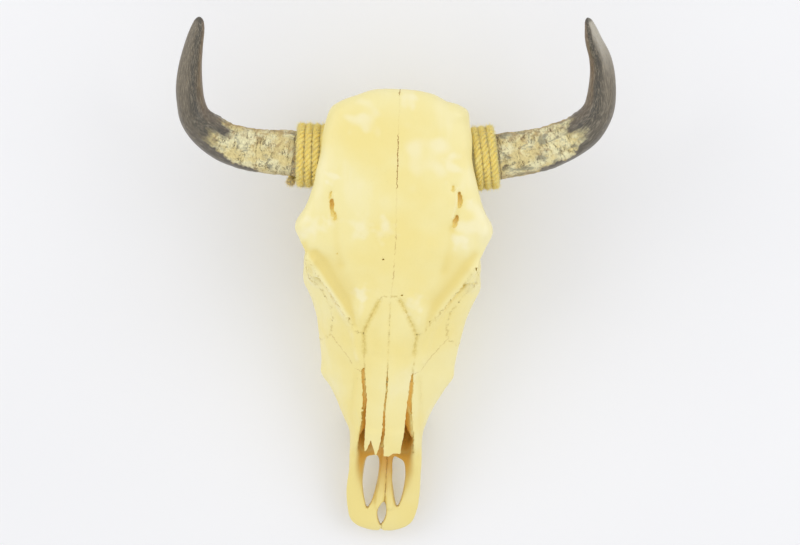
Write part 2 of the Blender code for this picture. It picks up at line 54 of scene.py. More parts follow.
STEP = 1.3  # grid spacing of the bones' field
FAR = 14.0  # distances are kept up to this value
GRID_LOW = (-114.0, -314.0, -6.0)
GRID_HIGH = (0.0, 206.0, 204.0)
SEAM = 0.03  # half the gap between two bones
EDGE_REACH = 1.1  # in grid steps: points nearer than this to a cut's edge are put onto it
MOST_MOVE = 0.6  # in grid steps: how far one pass may move a point
MOST_EDGE_MOVE = 1.2
SHARP_ANGLE = math.radians(32)
END_ROUNDING = 6.0  # edge radius at the two ends of a row of sections
BAR_ROUNDING = 3.0  # softness between the lengths of a bar
STATION_BLUR = 4.0  # how far the sections are averaged along the skull
BAR_JOIN = 8.0  # how softly a bar of bone joins the skull, and the poll's corner
BALL_JOIN = 6.0
THIN_JOIN = 2.0  # for the thin walls and bars in and below the nose
DISH_JOIN = 12.0
ROOF_JOIN = 6.0
WAVE_COUNT = 20
HOLLOW_SHADE_REACH = 4.0  # how far around a point its shelter is measured, for the painted shade in hollows
# for the painted light on the bone's swells and the painted shade in its broad hollows
SWELL_LIGHT_REACH = 15.0
FOOT_HEIGHT = 12.0  # below it the swells fade out, so the skull rests where its solids do

# Sections of the skull: y, half width, height of the widest line, top, bottom. Those of a body
# beside the midline, on the right, end with the middle's x.
FOREHEAD = [
    (200.5, 26, 178, 189, 166),
    (197, 42, 176, 194, 150),
    (188, 66, 174, 197, 135),
    (179, 75.5, 174, 197.5, 130),
    (168, 79, 174, 197, 130),
    (148, 82, 174, 195.5, 132),
    (128, 83.5, 174, 193.5, 136),
    (110, 88, 174, 191.5, 140),
    (94, 92.5, 171, 189.5, 142),
    (74, 98.7, 167, 186, 143),
    (58, 106, 164, 182, 144),
    (47, 109.5, 162, 179, 145),
    (38, 106, 162, 176.5, 145),
    (26, 101.5, 161.5, 173, 142),
    (9, 95, 158, 167, 138),
    (-10, 81.5, 151.5, 159.5, 128),
    (-30, 66.5, 142, 151.5, 118),
    (-50, 52.5, 134, 145, 108),
    (-68, 42, 124, 137, 98),
    (-90, 30, 108, 126, 88),
]
FACE = [
    (24, 97, 99, 150, 90),
    (8, 100.5, 100, 152, 72),
    (-16, 101, 100, 150, 50),
    (-35, 92.5, 93, 147, 34),
    (-53, 86, 87, 142, 28),
    (-82, 81.3, 78, 133, 25),
    (-110, 77, 70, 124.5, 24),
    (-119.5, 78.5, 67, 122, 24),
    (-129, 71, 65, 119.5, 24),
    (-148, 59.8, 62, 113, 24),
    (-167, 50.2, 58, 106.5, 24),
    (-187, 43, 54, 99, 24),
    (-205, 41.7, 50, 91, 24),
    (-213, 42, 49, 76, 24),
    (-235, 42.6, 46, 62, 23),
    (-255, 43, 41, 51, 21),
    (-275, 42.5, 36, 43, 19),
    (-292, 39, 31, 37, 17),
    (-302, 30, 28, 33, 17.5),
    (-307.5, 11, 26, 30, 20),
]
FACE_TOP_POWER = [
    2.3, 2.3, 2.2, 2.1, 2.0, 1.7, 1.5, 1.45, 1.5, 1.6, 1.9, 2.2, 2.4, 2.4, 2.4, 2.4, 2.4, 2.4, 2.4, 2.4,
]
BRAINCASE = [
    (10, 34, 110, 145, 82),
    (40, 44, 116, 158, 72),
    (80, 51, 118, 168, 62),
    (120, 56, 116, 172, 58),
    (150, 64, 110, 172, 58),
    (170, 73, 104, 174, 60),
    (183, 71, 104, 178, 64),
    (191, 54, 106, 178, 74),
]
SKULL_BASE = [
    (-8, 9, 62, 84, 52),
    (30, 13, 60, 84, 46),
    (80, 16, 58, 80, 44),
    (130, 19, 57, 78, 43),
    (185, 24, 60, 78, 48),
]
NASAL_CAVITY = [
    (14, 20, 95, 122, 66),
    (-20, 30, 96, 136, 50),
    (-53, 40, 96, 135, 38),
    (-82, 42, 96, 127.5, 36),
    (-119, 38, 84, 117.5, 35),
    (-148, 34, 76, 108.5, 34),
    (-167, 33, 70, 102, 34),
    (-187, 31, 64, 95, 36),
    (-208, 24, 62, 84, 43),
]
FRONT_DISH = [
    (-164, 20, 95, 104, 91),
    (-178, 25, 90, 101, 83),
    (-190, 28, 80, 97, 60),
    (-200, 29.5, 72, 96, 42),
    (-216, 32.5, 67, 95, 33),
    (-235, 35.5, 62, 90, 30.5),
    (-252, 35, 54, 90, 30),
    (-265, 32, 48, 90, 31.5),
    (-276, 25, 45, 90, 34),
    (-287, 14, 43, 90, 37),
]
# The outside and the underside of the nasal bones' free ends, as stations like the above.
NASAL_TOP = [(-184, 43, 55, 100, 24), (-205, 41.7, 50, 91.5, 24), (-222, 41.7, 50, 85.5, 24)]
NASAL_UNDERSIDE = [(-184, 34, 66, 97, 30), (-208, 34, 62, 89, 30), (-222, 34, 62, 83.5, 30)]
CHOANAE = [(40, 15, 66, 84, 50), (0, 18, 62, 84, 40), (-40, 20, 62, 80, 42)]
PALATE_VAULT = [
    (12, 34, 0, 34, -20),
    (-40, 36, 0, 30, -20),
    (-110, 34, 0, 29, -20),
    (-170, 28, 0, 27.5, -20),
    (-205, 24, 0, 26, -20),
    (-250, 18, 0, 24, -20),
]

ALVEOLUS = [
    (-186, 6, 42, 56, 30, -34),
    (-172, 10, 40, 60, 21, -38),
    (-148, 13, 40, 62, 18, -43),
    (-110, 15.5, 40, 64, 17, -48),
    (-72, 17, 40, 66, 17, -51.5),
    (-42, 17, 42, 68, 18, -52),
    (-24, 12, 50, 70, 30, -49),
]
PTERYGOID = [
    (-20, 4, 60, 84, 32, -21),
    (0, 4, 60, 88, 38, -21),
    (18, 4, 62, 90, 40, -21),
    (34, 4, 66, 90, 46, -20),
    (58, 5, 72, 90, 56, -18),
]

# Bars of bone on the right: points (x, y, z), radii, and how flat they are along x, y, z.
BARS = [
    ([(-90, -12, 99), (-93, 10, 98), (-92, 30, 99), (-89, 48, 99), (-84, 66, 98),
      (-79, 86, 97), (-72, 104, 98), (-62, 118, 100), (-50, 128, 102)],
     [9, 9, 9, 9.5, 8.5, 8.5, 9, 10, 13], (1.25, 1, 0.95)),
    ([(-99, 50, 163), (-99, 54, 145), (-95, 54, 122), (-89, 50, 102)], [11, 8, 7.5, 9], (1.2, 0.95, 1)),
    ([(-89, 8, 158), (-87, -3, 145), (-87, -9, 128), (-90, -6, 106)], [6, 6, 7, 8], (1, 1, 1)),
    ([(-54, 164, 90), (-54, 167, 56), (-51, 170, 26), (-48, 170, 0)], [18, 13.5, 10, 7], (1.15, 0.85, 1)),
]

# Balls on the right: centre and radii of the knuckle, the ear's capsule and its tube.
BALLS = [((-25, 183, 68), (16, 16, 21)), ((-33, 124, 55), (11, 19, 19)), ((-66, 126, 96), (15, 11, 11))]
POLL_CORNER = ((62, 177, 173), (15, 12.5, 19))  # the poll is squarer on the left

# What the skull is put together from, and hollowed by: stations, powers of the upper and the
# lower half of the sections, and how softly it joins.
BODIES = [
    (BRAINCASE, 2.4, 2.2, 6),
    (SKULL_BASE, 2.0, 2.0, 9),
    (FOREHEAD, 2.8, 1.6, 8),
    (FACE, FACE_TOP_POWER, 2.6, 8),
    (ALVEOLUS, 2.4, 2.8, 6),
    (PTERYGOID, 2.4, 2.8, 5),
]
HOLLOWS = [(NASAL_CAVITY, 2.0, 3.0, 2.0), (CHOANAE, 2.5, 2.5, 2.0), (PALATE_VAULT, 3.5, 2.0, 4.0)]
# Eye socket, hole for the spine, ear, nerve hole of the jaw, nape: centre, radii, softness.
HOLLOW_BALLS = [
    ((-98, 27, 133), (47, 27, 25.5), 2.5),
    ((0, 196, 88), (18, 26, 17), 3.0),
    ((-78, 126, 97), (14, 4.2, 4.6), 1.5),
    ((-66, -140, 50), (10, 8, 4), 2.0),
    ((-27, 203, 128), (20, 12, 26), 6.0),
]
# Inside the nose: the upright plate, then a scroll of thin bone, the shelf below the side slit and
# the cap of the plate below the middle slit.
NOSE_PLATE = [
    (-20, 1.6, 60, 118, 32), (-60, 1.6, 60, 116, 32), (-120, 1.8, 56, 112, 32),
    (-170, 2.4, 50, 95, 32), (-204, 2.4, 40, 80, 30),
]
NOSE_BARS = [
    ([(-20, -50, 74), (-20, -110, 68), (-19, -160, 62), (-21, -186, 58)], [9, 8.5, 7.5, 4], (1.1, 1, 0.8)),
    ([(-26, -50, 108), (-27, -110, 107), (-25, -147, 94), (-28, -182, 81), (-31, -204, 70)],
     [7, 7, 7, 6, 4], (0.7, 1, 1.2)),
    ([(0, -60, 110), (0, -119, 105), (0, -148, 96), (-1, -182, 83), (-1, -198, 74)],
     [6, 6, 6, 5.5, 4], (0.7, 1, 1)),
]

# Cheek teeth from front to back: y of the middle, x of the middle, length, width.
TEETH = [
    (-164, 39, 14, 14),
    (-147, 42.5, 18, 17),
    (-128, 45.5, 18, 19),
    (-107, 48.5, 22, 22),
    (-82, 51, 26, 24),
    (-54, 52.5, 28, 24),
]
TOOTH_ROOT_Z = 34.0
MOLAR_LENGTH = 20.0  # a longer tooth has two lobes
CROWN_POWER = 3.2  # how square a crown is in plan
CROWN_ROOM = (16, 12, 18)  # grid kept from the outer crowns' middles: across, in front, behind
CROWN_OVERLAP = 0.4
CROWN_SLOPE = 0.95  # turns a share of a crown's half length into distance
CROWN_FULL_Z = 8.0  # here a crown has the width in the table
CROWN_TAPER = 0.03  # how much it narrows for each millimetre above that
CRESCENT_PLACE = 0.52  # from a crown's middle at 0 to its side at 1
CRESCENT_HALF_WIDTH = 1.1
CRESCENT_STEEPNESS = 2.2
CRESCENT_DEPTH = 1.7

# Seen from above, the line of each suture on the right side.
SIDE_X = 135.0
PAST_X = 20.0  # past the midline, so that a mirrored region has no gap there
FRONT_Y = -330.0
JAW_TO_FRONTAL = [
    (-SIDE_X, 12), (-94, 9), (-73, -20), (-52, -49), (-45, -56), (-40, -68), (-29, -71), (PAST_X, -71),
]
JAW_TO_PALATE = [
    (-SIDE_X, -2), (-94, -3), (-74, -4), (-56, -5), (-45, -6), (-38, -8), (-20, -12), (PAST_X, -14),
]
JAW_LEVELS = (84.0, 112.0)
CHEEK_EDGE = [
    (-SIDE_X, -82), (-77, -80), (-67, -73), (-65, -54), (-68, -43), (-76, -29), (-82, -21), (-90, -12),
    (-97, -5), (-97, 6), (-76, 12), (-76, 60), (-SIDE_X, 60),
]
CHEEK_BOTTOM = 58.0
CHEEK_TOP = [(-8, 175), (20, 136)]  # y, z: above it the bar behind the eye is the forehead bone's
AHEAD_LEFT, AHEAD_RIGHT = (PAST_X, FRONT_Y), (-SIDE_X, FRONT_Y)
PREMAXILLA_TOP = [(PAST_X, -124), (-39, -124), (-40, -148), (-62, -172), AHEAD_RIGHT, AHEAD_LEFT]
PREMAXILLA_BOTTOM = [(PAST_X, -205), (-39, -205), (-40, -206), (-62, -208), AHEAD_RIGHT, AHEAD_LEFT]
PREMAXILLA_LEVELS = (34.0, 90.0)

# Seen from above, the two nasal bones and the holes around them. They differ a little.
NASAL_RIGHT = [
    (0, -27), (-10, -28), (-14.5, -38), (-19, -47), (-24, -57), (-29, -70), (-27.5, -89), (-26.4, -109),
    (-25.5, -117), (-22.0, -147), (-24.0, -182), (-23.9, -209.5), (-20.8, -205), (-17, -194.5),
    (-10.6, -213.5), (-5.5, -195), (-3.8, -175), (-2.6, -157), (-1.1, -134), (-0.9, -117.5), (0, -113),
]
NASAL_LEFT = [
    (0, -27), (0, -113), (0.9, -117.5), (0.9, -134), (-0.4, -157), (-1.0, -178), (-2.0, -195), (-1.2, -212),
    (4.6, -213), (9.5, -208.5), (17.3, -209.5), (21.3, -180), (24.3, -145), (25.8, -127), (28.5, -112),
    (30.4, -92), (31.6, -71), (24, -55), (17, -42), (12, -35), (8, -27),
]
NASAL_FLOOR_Z = 78.0
BELOW_ALL = -99.0  # a hole cut down to here goes right through
APERTURE_FLOOR = [(-222, 60), (-200, 66), (-182, 85), (-147, 101), (-113, 112.5)]  # y, z
# The floor of the slit between the nasal bones: points and radii.
SLIT_STRIP = (
    [(0, -108, 121.5), (-0.3, -134, 114), (-1.6, -157, 105), (-2.6, -180, 95), (-3, -200, 86)],
    [2, 2, 2, 2.4, 3],
)
APERTURE = [
    (-29, -110), (-30, -117), (-26.5, -147), (-28, -182), (-32, -208), (-33, -222),
    (33, -222), (33, -208), (31, -180), (29, -145), (30.3, -127), (29, -112),
]
# Bars of the palate's front beside its middle seam, seen through the nose: points and radii.
PALATE_BARS = [
    ([(-3.4, -196, 38), (-1.4, -214, 33), (-2.0, -238, 32), (-3.6, -262, 32), (-4.5, -276, 34)],
     [3, 4, 4.4, 5.4, 6]),
    ([(3.4, -196, 38), (6.4, -214, 33), (6.6, -238, 32), (7.8, -262, 32), (8.5, -276, 34)],
     [3, 3.6, 4.2, 5.6, 6]),
    ([(0, -200, 32), (2.7, -222, 29.5), (1.9, -270, 29.5)], [3, 3, 3]),
]
FISSURE_RIGHT = [
    (-7.0, -217.5), (-15, -217.5), (-22.5, -219), (-25, -236), (-25.6, -252), (-23.2, -268),
    (-18.8, -283), (-14.2, -273), (-10.2, -260), (-8.2, -240),
]
FISSURE_LEFT = [
    (8.8, -217), (17, -219), (24.2, -222.5), (25.2, -240), (23.0, -260), (17.2, -282),
    (12.0, -264), (9.6, -243),
]
INTERINCISIVE = [
    (0.9, -271.5), (-3.5, -275), (-6.2, -284), (-5.3, -291), (-1.4, -300.0), (0.0, -300.5),
    (3.6, -293), (5.2, -286), (3.6, -275),
]
TIP_NOTCH = [(-2.4, -313), (-0.6, -303.5), (0.4, -303.5), (1.6, -313)]
NOSE_MIDLINE = [(-310, 0.0), (-300, 0.2), (-272, 1.9), (-222, 2.7), (-205, 0.0)]  # y, x of the seam
ROOF_SHIFT = 4.0  # under the nasal bones the seam is off the middle, so the slit's floor is one bone's
# The nose opening's rim, y and z: the amber painted shade inside begins below it.
RIM_HEIGHT = [(-275, 42), (-255, 50), (-235, 60), (-213, 70), (-205, 77), (-190, 90), (-150, 112)]

# Nerve slots above the eyes, cut from above: line (x, y, half width), height of the bottom.
BROW_SLOTS = [
    ([(-71.0, 85.5, 0.5), (-71.0, 81.5, 0.8), (-72.3, 77.5, 0.9), (-70.6, 75.5, 1.0)], 181.8),
    ([(-68.9, 75.6, 1.9), (-68.4, 71, 2.5), (-68.3, 66, 2.2), (-67.8, 59.5, 1.3)], 178.6),
    ([(-64.8, 61.5, 0.9), (-64.7, 56.5, 1.3)], 177.6),
    ([(63.8, 96.0, 1.0), (63.8, 92, 1.3)], 185.0),
    ([(70.6, 90, 1.0), (71.9, 83, 2.7), (71.8, 76, 1.7)], 180.4),
    ([(69.4, 64, 1.1), (68.1, 58.5, 2.2), (67.0, 53, 1.3)], 176.4),
    ([(-102.5, 28, 0.3), (-99.2, 20.5, 1.2), (-96, 14.5, 0.4)], 136.0),
    ([(101.5, 21, 0.3), (98.6, 15, 1.1), (97, 9.5, 0.3)], 136.0),
]
# Small holes for vessels: x, y, half width along x and y, depth reached.
VESSEL_HOLES = [
    (-9.8, 14, 1.3, 1.0, 163.5),
    (12.9, -25, 1.4, 0.9, 150),
    (-81.5, -14, 1.2, 1.1, 146),
    (85.5, -11.5, 1.5, 2.8, 143),
    (93.6, 7, 0.6, 2.0, 148),
    (-61, 17.6, 1.0, 0.8, 167),
]

# Swells all over the bones: height, wavelength, seed.
SWELLS = [(0.40, 60, 11), (0.10, 19, 12), (0.03, 7, 13)]
# Ridges and grooves seen from above: points (x, y), width, rise. The first two edge the nasal bones.
SURFACE_LINES = [
    ([(-27, -92), (-29, -70), (-24, -57), (-19, -47), (-13, -34)], 2.8, -1.8),
    ([(30, -92), (31.6, -71), (24, -55), (17, -42), (11, -32)], 2.8, -1.8),
    ([(-96, 14), (-75.5, -18), (-54, -48), (-46.5, -55), (-41.5, -68), (-34, -100)], 3.4, 1.5),
    ([(101, 20), (85, -9), (59, -43), (46, -68), (41, -100)], 3.4, 1.5),
    ([(-86, 16), (-69, -10), (-50, -38), (-40, -60)], 6.5, -2.4),
    ([(92, 22), (76, -2), (53, -34), (40, -62)], 6.5, -1.6),
    ([(-72, 8), (-54, -12), (-44, -26)], 13.0, -1.6),
    ([(74, 14), (60, -8), (46, -30)], 13.0, -1.2),
    ([(-33, -22), (-32, -40), (-35, -58)], 5.0, 1.6),
    ([(22, -28), (32, -46), (36, -62)], 5.5, 1.6),
    ([(-13, -46), (-15, -70), (-14, -92)], 8.0, -0.8),
    ([(17, -50), (18, -80), (17, -110)], 8.0, 0.7),
    ([(-66.3, 80), (-65.6, 66)], 1.8, 1.2),
    ([(67.6, 95), (67.8, 76), (64.5, 63)], 1.8, 1.4),
    ([(-71, 84), (-69.5, 72), (-66, 56)], 4.5, -1.0),
    ([(64, 96), (72, 84), (69, 62), (65, 50)], 4.5, -1.0),
    ([(-65, 54), (-62, 30), (-56, 6)], 6.0, -1.0),
    ([(65, 50), (63, 30), (58, 4)], 6.0, -1.0),
    ([(0, -200), (0, -113), (0, -75), (0, -35)], 2.4, -0.8),
    ([(-36, -120), (-40, -165), (-38, -215)], 5.0, -1.0),
    ([(37, -120), (41, -165), (40, -215)], 5.0, -1.0),
    ([(-99, 26), (-94, 10), (-90, -2)], 6.0, -1.6),
]
# Pale spots, seen from above: x, y, reach.
PALE_SPOTS = [
    (37, 130, 30), (62, 120, 16), (-36, 168, 20), (-39, 46, 17), (-91, 44, 16), (-72, 52, 10),
    (90, 58, 25), (-9, 46, 15), (76, 38, 14), (84, 78, 8), (-33, -26, 12), (25, -36, 14),
    (-70, 100, 10), (12, 190, 12),
]
PALE_SPOTS_Z = 90.0  # none are below it
# The skull's unevenness in plan: the axis along which it moves, how far, and the smooth steps
# that bound it, each with its axis, start and end. X is axis 0 and y is axis 1.
UNEVEN = [
    (0, 2.6, [(0, -60, -100), (1, 40, 62), (1, 112, 90)]),
    (0, 1.1, [(1, -160, -190), (1, -300, -270)]),
    (0, 1.6, [(0, -60, -80), (1, -10, -30), (1, -110, -80)]),
    (0, 1.6, [(0, 60, 80), (1, 0, -14), (1, -70, -40)]),
    (1, -1.8, [(0, -30, -50), (0, -78, -66), (1, 165, 190)]),
    (1, -3.2, [(0, 34, 56), (0, 82, 68), (1, 165, 190)]),
]
# Painted seams in plan, and where they are dark: from y, to y, share.
MIDLINE_CRACK = [(0.6, 206), (2.1, 90), (3.3, 35.6), (2.6, 2.5), (0.7, -31)]
MIDLINE_DARK = [(94, 148, 1.0), (194, 206, 0.9), (27, 40, 0.45), (16, 20, 0.4), (-10, 7, 0.45)]
NOSE_DARK = [(-272, -205, 0.55), (-310, -300, 0.7)]
CHEEK_SEAM = [(-67, -73.5), (-60, -81), (-46, -97), (-38, -111), (-30, -115)]

# Horn centre lines, from beyond the ropes to the tip: x, y, z and radius.
HORN_STATIONS = {
    "right": [
        (-120, 128.5, 141.5, 25.2), (-145, 129, 144, 24.9),
        (-168, 131, 147, 23.6), (-191, 137, 151, 22.3), (-212, 149.5, 157, 20.4),
        (-224.5, 162, 162, 17.6), (-229.5, 177, 168, 15.8), (-231.5, 195, 175, 15.0),
        (-230.6, 216, 184, 13.0), (-226.7, 237, 193, 10.5), (-221.5, 257, 202, 7.2),
        (-219.7, 268, 206.5, 3.5),
    ],
    "left": [
        (122, 136.3, 142, 25.6), (153.5, 142.7, 145, 24.8),
        (175, 149.5, 149, 23.6), (195, 159, 153, 21.6), (210, 171, 159, 20.2),
        (220.5, 187, 165, 17.5), (223.5, 204, 171, 15.8), (222.3, 227, 180, 13.7),
        (217.9, 245, 188, 12.1), (210.5, 261, 195, 9.6), (204.4, 276, 202, 5.9),
        (200.7, 285, 206.5, 2.9),
    ],
}
# Start of each rope's axis, and the way it winds.
ROPE_AXES = {
    "right": ((-80.7, 127.2, 141), (-1.0, 0.0, 0.0)),
    "left": ((81.3, 130.2, 141), (0.99, 0.14, 0.0)),
}
PEDICLE_RADIUS = 26.3
PEDICLE_START_X = 50.0
PEDICLE_LENGTH = {"right": 22.3, "left": 21.9}
HORN_GAP = 0.3
HORN_SQUARE_LENGTH = 4.0
HORN_BASE_RADIUS = 25.4
HORN_TIP_LENGTH = 5.0
HORN_LEAST_RADIUS = 0.15
HORN_CURVE_STEPS = 24
HORN_RINGS = 420
HORN_SIDES = 144
HORN_WORN_END = (120.0, 84.0)  # between these lengths the worn base's relief comes to its full height
# Flakes and rings: height, stretch of the pattern along and across, wavelength, seed.
HORN_FLAKES = [(0.30, (1, 1, 1), 26, 41), (0.20, (1, 0.3, 0.3), 9, 42), (0.10, (1, 1, 1), 4, 43)]
HORN_DENT_DEPTH = 0.5
HORN_GROOVE_HEIGHT = 0.20
HORN_COLLAR_END = (12.0, 7.0)  # the same for the collar beside the rope
LEFT_HORN_SHIFT = 500.0  # moves the left horn's pattern away from the right one's

ROPE_RADIUS = 4.1
ROPE_PITCH = 8.4
ROPE_TURNS = {"right": 4.13, "left": 3.0}
ROPE_START_TURN = {"right": -1 / 6, "left": 0.75}
ROPE_EVEN_ADVANCE = 0.25  # share of the pitch that the rope comes forward evenly
ROPE_TAIL_TURN = {"right": 3.75, "left": 9.0}  # from here, if it gets so far, the end drifts outwards
ROPE_TAIL_LENGTH = 0.2
ROPE_TAIL_DRIFT = 4.5
ROPE_COIL_RADIUS = PEDICLE_RADIUS + ROPE_RADIUS + 1.2
ROPE_POINTS_PER_TURN = 150
STRANDS = 3
STRAND_RADIUS = 2.05
STRAND_OFFSET = 2.35
STRAND_LAY = 17.0  # length of rope in which a strand goes once round
STRAND_SIDES = 16
YARNS = 5  # in each strand
YARN_TWIST = 1.6
ROPE_END_TAPER = 6.0  # length over which the rope's cut end grows thin
FIBRES_PER_TURN = 2200
FIBRE_SEED = {"right": 61, "left": 62}
FRAY_SEED = {"right": 63, "left": 64}
FRAY_COUNT = {"right": 900, "left": 200}
# Where hairs of each kind are rooted, from the rope's middle, and their radius there.
FIBRE_ROOT, FIBRE_RADIUS = 3.7, 0.14
EDGE_FIBRE_ROOT, EDGE_FIBRE_RADIUS = 3.6, 0.12
FRAY_ROOT, FRAY_RADIUS = 3.4, 0.2
WHISKER_RINGS = 6

# The stage, in metres.
FLOOR_HALF = 6.0
# Two wide soft boxes, the right one a little nearer: place and power.
LIGHTS = {"soft_box_right": ((1.7, 0.35, 1.8), 9.5), "soft_box_left": ((-2.1, 0.5, 1.9), 11.5)}
LIGHT_SIZE = 1.8
LIGHT_AIM = (0, 0, 0.1)
SKY_COLOUR = (0.985, 0.99, 1.0, 1.0)
SKY_STRENGTH = 0.86
CAMERA_HEIGHT = 2.08
CAMERA_LENS = 77.7
CAMERA_TURN = math.radians(2.45)
CAMERA_X, CAMERA_Y = 13.0, 10.4  # in millimetres


# ---------------------------------------------------------------- numbers and outlines

def smooth_step(value, start, end):
    share = np.clip((value - start) / (end - start), 0, 1)
    return share * share * (3 - 2 * share)


def soft_min(a, b, rounding):
    blend = np.maximum(rounding - np.abs(a - b), 0) / rounding
    return np.minimum(a, b) - blend * blend * rounding / 4


def soft_max(a, b, rounding):
    return -soft_min(-a, -b, rounding)


def unit(vectors):
    return vectors / np.linalg.norm(vectors, axis=1)[:, None]


def stacked(*parts):
    """One array of vectors from one array for each coordinate."""
    return np.stack(np.broadcast_arrays(*parts), axis=-1)


def read_table(table, places):
    """A value at each place, from a table of places and values in rising order."""
    return np.interp(places, *np.array(table).T)


def waves(points, wavelength, seed):
    """Smooth random swell of about unit height, from waves in all directions."""
    random = np.random.default_rng(seed)
    total = np.zeros(points.shape[:-1], dtype=np.float32)
    for _ in range(WAVE_COUNT):
        direction = random.normal(size=points.shape[-1])
        direction /= np.linalg.norm(direction)
        turn = 2 * math.pi / (wavelength * random.uniform(0.7, 1.4))
        total += np.sin(points @ (direction * turn).astype(np.float32) + random.uniform(0, 2 * math.pi))
    return total * math.sqrt(2 / WAVE_COUNT)


def off_segment(points, a, b):
    """Distance in plan from the segment a to b, the share of it passed, and the side as a sign."""
    side_x, side_y = b[0] - a[0], b[1] - a[1]
    off_x, off_y = points[..., 0] - a[0], points[..., 1] - a[1]
    share = np.clip((off_x * side_x + off_y * side_y) / (side_x ** 2 + side_y ** 2), 0, 1)
    away = np.hypot(off_x - share * side_x, off_y - share * side_y)
    return away, share, side_x * off_y - side_y * off_x


def plan_distance(plan, outline):
    """Signed distance, seen from above, to a closed outline, negative inside it."""
    x, y = plan[..., 0], plan[..., 1]
    nearest = np.full(x.shape, 1e9)
    inside = np.zeros(x.shape, dtype=bool)
    for a, b in zip(outline, outline[1:] + outline[:1]):
        nearest = np.minimum(nearest, off_segment(plan, a, b)[0])
        if a[1] != b[1]:
            crossed = (y >= a[1]) != (y >= b[1])
            inside ^= crossed & (x < a[0] + (y - a[1]) * (b[0] - a[0]) / (b[1] - a[1]))
    return np.where(inside, -nearest, nearest).astype(np.float32)


def plan_of_line(plan, line):
    """Signed distance, seen from above, to a band whose half width changes along a line."""
    bands = []
    for a, b in zip(line, line[1:]):
        away, share, _ = off_segment(plan, a, b)
        bands.append(away - a[2] - share * (b[2] - a[2]))
    return np.minimum.reduce(bands).astype(np.float32)


def line_distance(points, line):
    """Distance from points seen from above to an open line, and the side they are on."""
    nearest = np.full(len(points), 1e9)
    side = np.ones(len(points))
    for a, b in zip(line, line[1:]):
        away, _, turn = off_segment(points, a, b)
        closer = away < nearest
        nearest = np.where(closer, away, nearest)
        side = np.where(closer, np.sign(turn), side)
    return nearest, side


def rounded(outline):
    """The same outline with its corners cut off twice."""
    points = np.array(outline)
    for _ in range(2):
        following = np.roll(points, -1, axis=0)
        cut = [0.75 * points + 0.25 * following, 0.25 * points + 0.75 * following]
        points = np.stack(cut, 1).reshape(-1, 2)
    return [tuple(point) for point in points]


def jagged(plan, outline, wavelength, height, seed):
    """Signed distance to an outline that wanders as a suture does."""
    return plan_distance(plan, outline) + height * waves(plan, wavelength, seed)


# ---------------------------------------------------------------- fields of distances

def grid_line(low, high):
    return np.arange(round((high - low) / STEP) + 1, dtype=np.float32) * STEP + low


def seen_from_above(axes):
    return np.stack(np.meshgrid(axes[0], axes[1], indexing="ij"), axis=-1)


# The grid lines of the right half, the last one in the midline plane, and those of the whole skull.
HALF_LINE = -STEP * np.arange(round(-GRID_LOW[0] / STEP), -1, -1, dtype=np.float32)
HALF = (HALF_LINE, grid_line(GRID_LOW[1], GRID_HIGH[1]), grid_line(GRID_LOW[2], GRID_HIGH[2]))
WHOLE = (np.concatenate([HALF_LINE, -HALF_LINE[-2::-1]]), *HALF[1:])
HALF_PLAN = seen_from_above(HALF)
WHOLE_PLAN = seen_from_above(WHOLE)


def window(axes, low, high):
    """The part of the grid that a form reaches, with room for its soft joins."""
    cuts = []
    for line, a, b in zip(axes, low, high):
        first = int(np.searchsorted(line, a - FAR))
        last = int(np.searchsorted(line, b + FAR))
        cuts.append(slice(max(0, first), max(2, min(len(line), last + 1))))
    return tuple(cuts)


def open_grid(axes, cuts=(slice(None),) * 3):
    xs, ys, zs = (line[cut] for line, cut in zip(axes, cuts))
    return xs[:, None, None], ys[None, :, None], zs[None, None, :]


def true_distance(shape_value):
    """Turn any smooth function that is zero on a surface into millimetres from it."""
    slopes = np.gradient(shape_value, STEP)
    steepness = np.sqrt(sum(slope * slope for slope in slopes))
    return np.clip(shape_value / np.maximum(steepness, 1e-4), -FAR, FAR)


def blurred(values, width):
    reach = max(1, round(2 * width / STEP))
    offsets = np.arange(-reach, reach + 1) * STEP
    weights = np.exp(-0.5 * (offsets / width) ** 2)
    weights /= weights.sum()
    return np.convolve(np.pad(values, reach, mode="edge"), weights, "valid")


def section_field(axes, stations, top_power, bottom_power):
    """Distance to a body with rounded sections across y.

    The powers are those of the upper and the lower half of each section's superellipse.
    """
    table = np.array([(*station, 0.0)[:6] for station in stations])  # 0.0 is a missing middle x
    table = np.stack(np.broadcast_arrays(*table.T, top_power, bottom_power), axis=1)
    table = table[np.argsort(table[:, 0])]
    at_y, half, _, top, bottom, middle, _, _ = table.T
    cuts = window(axes, ((middle - half).min(), at_y[0], bottom.min()),
                  ((middle + half).max(), at_y[-1], top.max()))
    x, y, z = open_grid(axes, cuts)
    columns = [blurred(np.interp(y.ravel(), at_y, column), STATION_BLUR) for column in table[:, 1:].T]
    columns = [column[None, :, None].astype(np.float32) for column in columns]
    half, widest, top, bottom, middle, top_power, bottom_power = columns
    upper = z > widest
    reach = np.where(upper, top - widest, widest - bottom)
    power = np.where(upper, top_power, bottom_power)
    across = (np.abs(x - middle) / half + 1e-4) ** power
    along = (np.abs(z - widest) / reach + 1e-4) ** power
    value = true_distance((across + along) ** (1 / power) - 1)
    ends = np.maximum(y - at_y[-1], at_y[0] - y)
    return cuts, soft_max(value, ends, END_ROUNDING)


